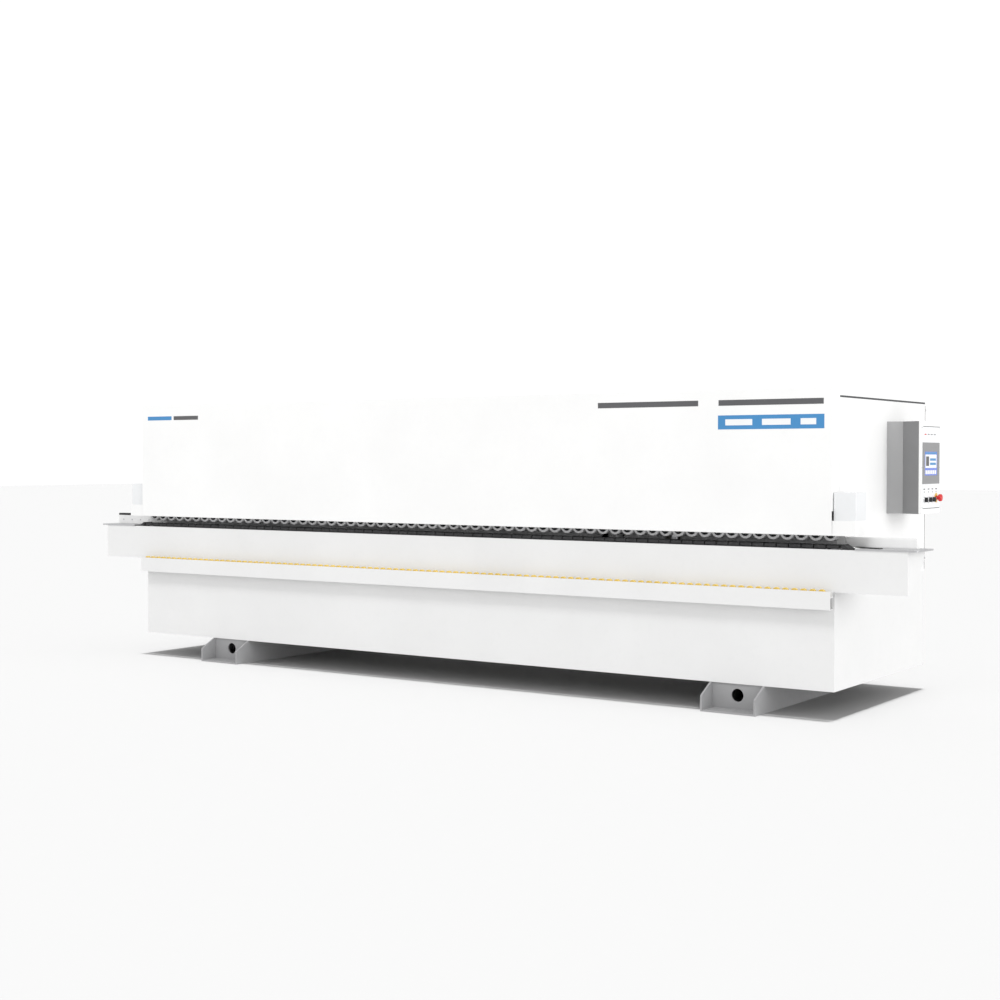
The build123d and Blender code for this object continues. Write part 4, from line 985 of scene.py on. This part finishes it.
# ---- Rear ----------------------------------------------------------------------------------------
class EDGEBANDER_OT_rear_fittings(bpy.types.Operator):
    """Model the grips of the sliding doors, the cabinet latch, its seal and the main switch"""
    bl_idname = "edge_bander.rear_fittings"
    bl_label = "Rear fittings"
    bl_options = {"REGISTER", "UNDO"}

    def execute(self, context):
        for side, sign in (("right", 1), ("left", -1)):
            node = f"rear_door_{side}"
            low, high = node_box(node)
            x, z = sign * 2.340, 1.190
            bm = bmesh.new()
            cup_end = (x + 0.0148, high.y, z + 0.0598)
            add_block(bm, (x - 0.0148, low.y + 0.0005, z - 0.0598), cup_end, 0, 0.002)
            add_block(bm, (x - 0.022, high.y, z - 0.068), (x - 0.0135, high.y + 0.0015, z + 0.068), 0)
            add_block(bm, (x + 0.0135, high.y, z - 0.068), (x + 0.022, high.y + 0.0015, z + 0.068), 0)
            for dz in (-0.068, 0.0598):
                add_block(bm, (x - 0.0135, high.y, z + dz), (x + 0.0135, high.y + 0.0015, z + dz + 0.0082), 0)
            add_piece(f"{node}_grip", bm, ("black_plastic",), node, "black_plastic")
        low, high = node_box("main_switch")
        middle = (low + high) / 2
        door_face = node_box("cabinet_door")[1].y
        back = (0, 1, 0)
        bm = bmesh.new()
        start = low.y - door_face
        add_turned(bm, [
            (0.0, start), (0.0119, start), (0.0119, 0.0004), (0.029, 0.0004), (0.030, 0.0014),
            (0.030, 0.0105), (0.0285, 0.012), (0.0, 0.012)],
            (middle.x, door_face, middle.z), back, 0, 44)
        top = high.y
        grip_low = (middle.x - 0.008, door_face + 0.0119, middle.z - 0.026)
        add_block(bm, grip_low, (middle.x + 0.008, top, middle.z + 0.026), 0, 0.0028, 3)
        add_piece("main_switch_grip", bm, ("red_plastic",), "main_switch", "red_plastic", "main_switch")
        bm = bmesh.new()
        low, high = node_box("cabinet_door")
        x, z = middle.x, middle.z
        ring = [(0.0325, 0.0), (0.046, 0.0), (0.046, 0.0008), (0.0325, 0.0008)]
        add_turned(bm, ring, (x, door_face, z), back, 0, 44)
        for dz in (-0.14, 0.14):
            add_turned(bm, [
                (0.0, 0.0), (0.013, 0.0), (0.013, 0.002), (0.010, 0.004), (0.0, 0.004)],
                (low.x + 0.030, door_face, z + dz), back, 1, 28)
            key = Vector((low.x + 0.030, door_face + 0.0035, z + dz))
            add_rod(bm, 0.005, key, key + Vector((0, 0.0025, 0)), 1, 3)
        add_piece("cabinet_door_fittings", bm, ("yellow_plastic", "zinc"), "cabinet_door", "zinc")
        return {"FINISHED"}


# ---- Fasteners -----------------------------------------------------------------------------------
class EDGEBANDER_OT_fasteners(bpy.types.Operator):
    """Put the screws on the rear sheets, the console frame and the roof"""
    bl_idname = "edge_bander.fasteners"
    bl_label = "Fasteners"
    bl_options = {"REGISTER", "UNDO"}

    def execute(self, context):
        bm = bmesh.new()
        rear = node_box("rear_frame")[1].y
        back = Vector((0, 1, 0))

        def screw(spot, direction, radius=0.006, height=0.004):
            add_turned(bm, [
                (0.0, height * 0.45), (radius * 0.45, height * 0.45), (radius * 0.5, height),
                (radius * 0.8, height), (radius, height * 0.55), (radius, 0.0), (0.0, 0.0)],
                spot, direction, 0, 14)

        for i in range(11):
            x = -2.35 + i * 0.47
            for z in (0.715, 1.642):
                screw((x, rear, z), back)
        bezel = node_box("console_bezel")
        for y in (bezel[0].y + 0.0075, bezel[1].y - 0.0075):
            for z in (1.075, 1.29, 1.507):
                screw((bezel[1].x, y, z), RIGHT, 0.003, 0.0015)
        for x in (-1.4, -0.2, 1.0, 2.2):
            for y in (-0.55, 0.62):
                screw((x, y, 1.664), UP, 0.006, 0.003)
        add_piece("cover_screws", bm, ("zinc",), "machine", "zinc")
        return {"FINISHED"}


# ---- Stage ---------------------------------------------------------------------------------------
def add_sun(name, energy, angle, turn, place):
    """A soft sun of the studio."""
    lamp = bpy.data.lights.new(name, "SUN")
    lamp.energy = energy
    lamp.angle = math.radians(angle)
    light = bpy.data.objects.new(name, lamp)
    light.location = place
    light.rotation_euler = turn
    bpy.context.scene.collection.objects.link(light)
    return light


class EDGEBANDER_OT_stage(bpy.types.Operator):
    """Lay the pale floor, light the studio and set up the camera"""
    bl_idname = "edge_bander.stage"
    bl_label = "Studio stage"
    bl_options = {"REGISTER", "UNDO"}

    def execute(self, context):
        scene = context.scene
        bm = bmesh.new()
        bmesh.ops.create_grid(bm, x_segments=8, y_segments=8, size=60.0)
        mesh = bpy.data.meshes.new("studio_floor")
        bm.to_mesh(mesh)
        bm.free()
        material = bpy.data.materials.new("studio_floor")
        material.use_nodes = True
        shader = material.node_tree.nodes["Principled BSDF"]
        shader.inputs["Base Color"].default_value = (0.46, 0.46, 0.46, 1.0)
        shader.inputs["Roughness"].default_value = 0.9
        shader.inputs["Specular IOR Level"].default_value = 0.1
        mesh.materials.append(material)
        floor = bpy.data.objects.new("studio_floor", mesh)
        scene.collection.objects.link(floor)

        world = bpy.data.worlds.new("studio")
        world.use_nodes = True
        background = world.node_tree.nodes["Background"]
        background.inputs["Color"].default_value = (1.0, 1.0, 1.0, 1.0)
        seen = world.node_tree.nodes.new("ShaderNodeLightPath")
        strength = world.node_tree.nodes.new("ShaderNodeMapRange")
        strength.inputs["To Min"].default_value = 0.80
        strength.inputs["To Max"].default_value = 1.05
        world.node_tree.links.new(seen.outputs["Is Camera Ray"], strength.inputs["Value"])
        world.node_tree.links.new(strength.outputs["Result"], background.inputs["Strength"])
        scene.world = world
        scene.view_settings.view_transform = "Standard"

        lit = bpy.data.collections.new("lit_from_above")
        lit.objects.link(floor)
        casting = bpy.data.collections.new("casting_on_floor")
        for name in ("base_frame", "feet", "support_beam"):
            casting.objects.link(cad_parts[name])
        above = add_sun("overhead", 4.0, 5.0, (0.0, 0.0, 0.0), (0.0, 0.0, 6.0))
        above.light_linking.receiver_collection = lit
        above.light_linking.blocker_collection = casting
        all_but_floor = bpy.data.collections.new("all_but_the_floor")
        all_but_floor.objects.link(floor)
        all_but_floor.collection_objects[0].light_linking.link_state = "EXCLUDE"
        for name, energy, angle, turn, place in (
                ("side_softbox", 1.6, 50.0, (0.0, 80.0, -10.0), (6.0, 0.0, 3.0)),
                ("front_key", 0.94, 16.0, (32.0, 0.0, -6.0), (-1.0, -4.0, 5.0))):
            light = add_sun(name, energy, angle, [math.radians(degrees) for degrees in turn], place)
            light.light_linking.receiver_collection = all_but_floor

        data = bpy.data.cameras.new("camera")
        data.sensor_width = 36.0
        data.lens = 56.37
        data.clip_end = 200.0
        camera = bpy.data.objects.new("camera", data)
        camera.location = (5.5723, -8.2204, 1.3352)
        camera.rotation_euler = (math.radians(90.0 - 1.487), 0.0, math.radians(34.229))
        scene.collection.objects.link(camera)
        scene.camera = camera
        return {"FINISHED"}


OPERATORS = (
    EDGEBANDER_OT_finish_frame, EDGEBANDER_OT_front_cover, EDGEBANDER_OT_cover_markings,
    EDGEBANDER_OT_pressure_wheels, EDGEBANDER_OT_wheel_bolts, EDGEBANDER_OT_track_pads,
    EDGEBANDER_OT_support_rollers, EDGEBANDER_OT_strip_curtain, EDGEBANDER_OT_black_strips,
    EDGEBANDER_OT_guide_strips, EDGEBANDER_OT_console_panel,
    EDGEBANDER_OT_console_screen, EDGEBANDER_OT_console_controls, EDGEBANDER_OT_lift_screws,
    EDGEBANDER_OT_tape_reel, EDGEBANDER_OT_cutter_heads, EDGEBANDER_OT_motor_fins, EDGEBANDER_OT_glue_lid,
    EDGEBANDER_OT_rear_fittings, EDGEBANDER_OT_fasteners, EDGEBANDER_OT_stage,
)


class EDGEBANDER_PT_pieces(bpy.types.Panel):
    """Sidebar panel with every piece of the machine"""
    bl_idname = "EDGEBANDER_PT_pieces"
    bl_label = "Edge banding machine"
    bl_space_type = "VIEW_3D"
    bl_region_type = "UI"
    bl_category = "Edge bander"

    def draw(self, context):
        for group in (context.scene.edge_bander_sizes, context.scene.edge_bander_colours):
            column = self.layout.column()
            for name in group.bl_rna.properties.keys():
                if name not in {"rna_type", "name"}:
                    column.prop(group, name)
        for operator in OPERATORS:
            self.layout.operator(operator.bl_idname)


def register():
    """Add the classes and the settings to Blender."""
    for group in (EdgeBanderSizes, EdgeBanderColours, *OPERATORS, EDGEBANDER_PT_pieces):
        bpy.utils.register_class(group)
    bpy.types.Scene.edge_bander_sizes = PointerProperty(type=EdgeBanderSizes)
    bpy.types.Scene.edge_bander_colours = PointerProperty(type=EdgeBanderColours)


def unregister():
    """Take the classes and the settings out again."""
    del bpy.types.Scene.edge_bander_sizes
    del bpy.types.Scene.edge_bander_colours
    for group in (EDGEBANDER_PT_pieces, *reversed(OPERATORS), EdgeBanderColours, EdgeBanderSizes):
        bpy.utils.unregister_class(group)


def main():
    """Build the machine round its frame."""
    register()
    for operator in OPERATORS:
        group, name = operator.bl_idname.split(".")
        if getattr(getattr(bpy.ops, group), name)() != {"FINISHED"}:
            raise RuntimeError(f"{operator.bl_label} did not finish")


if __name__ == "__main__":
    main()
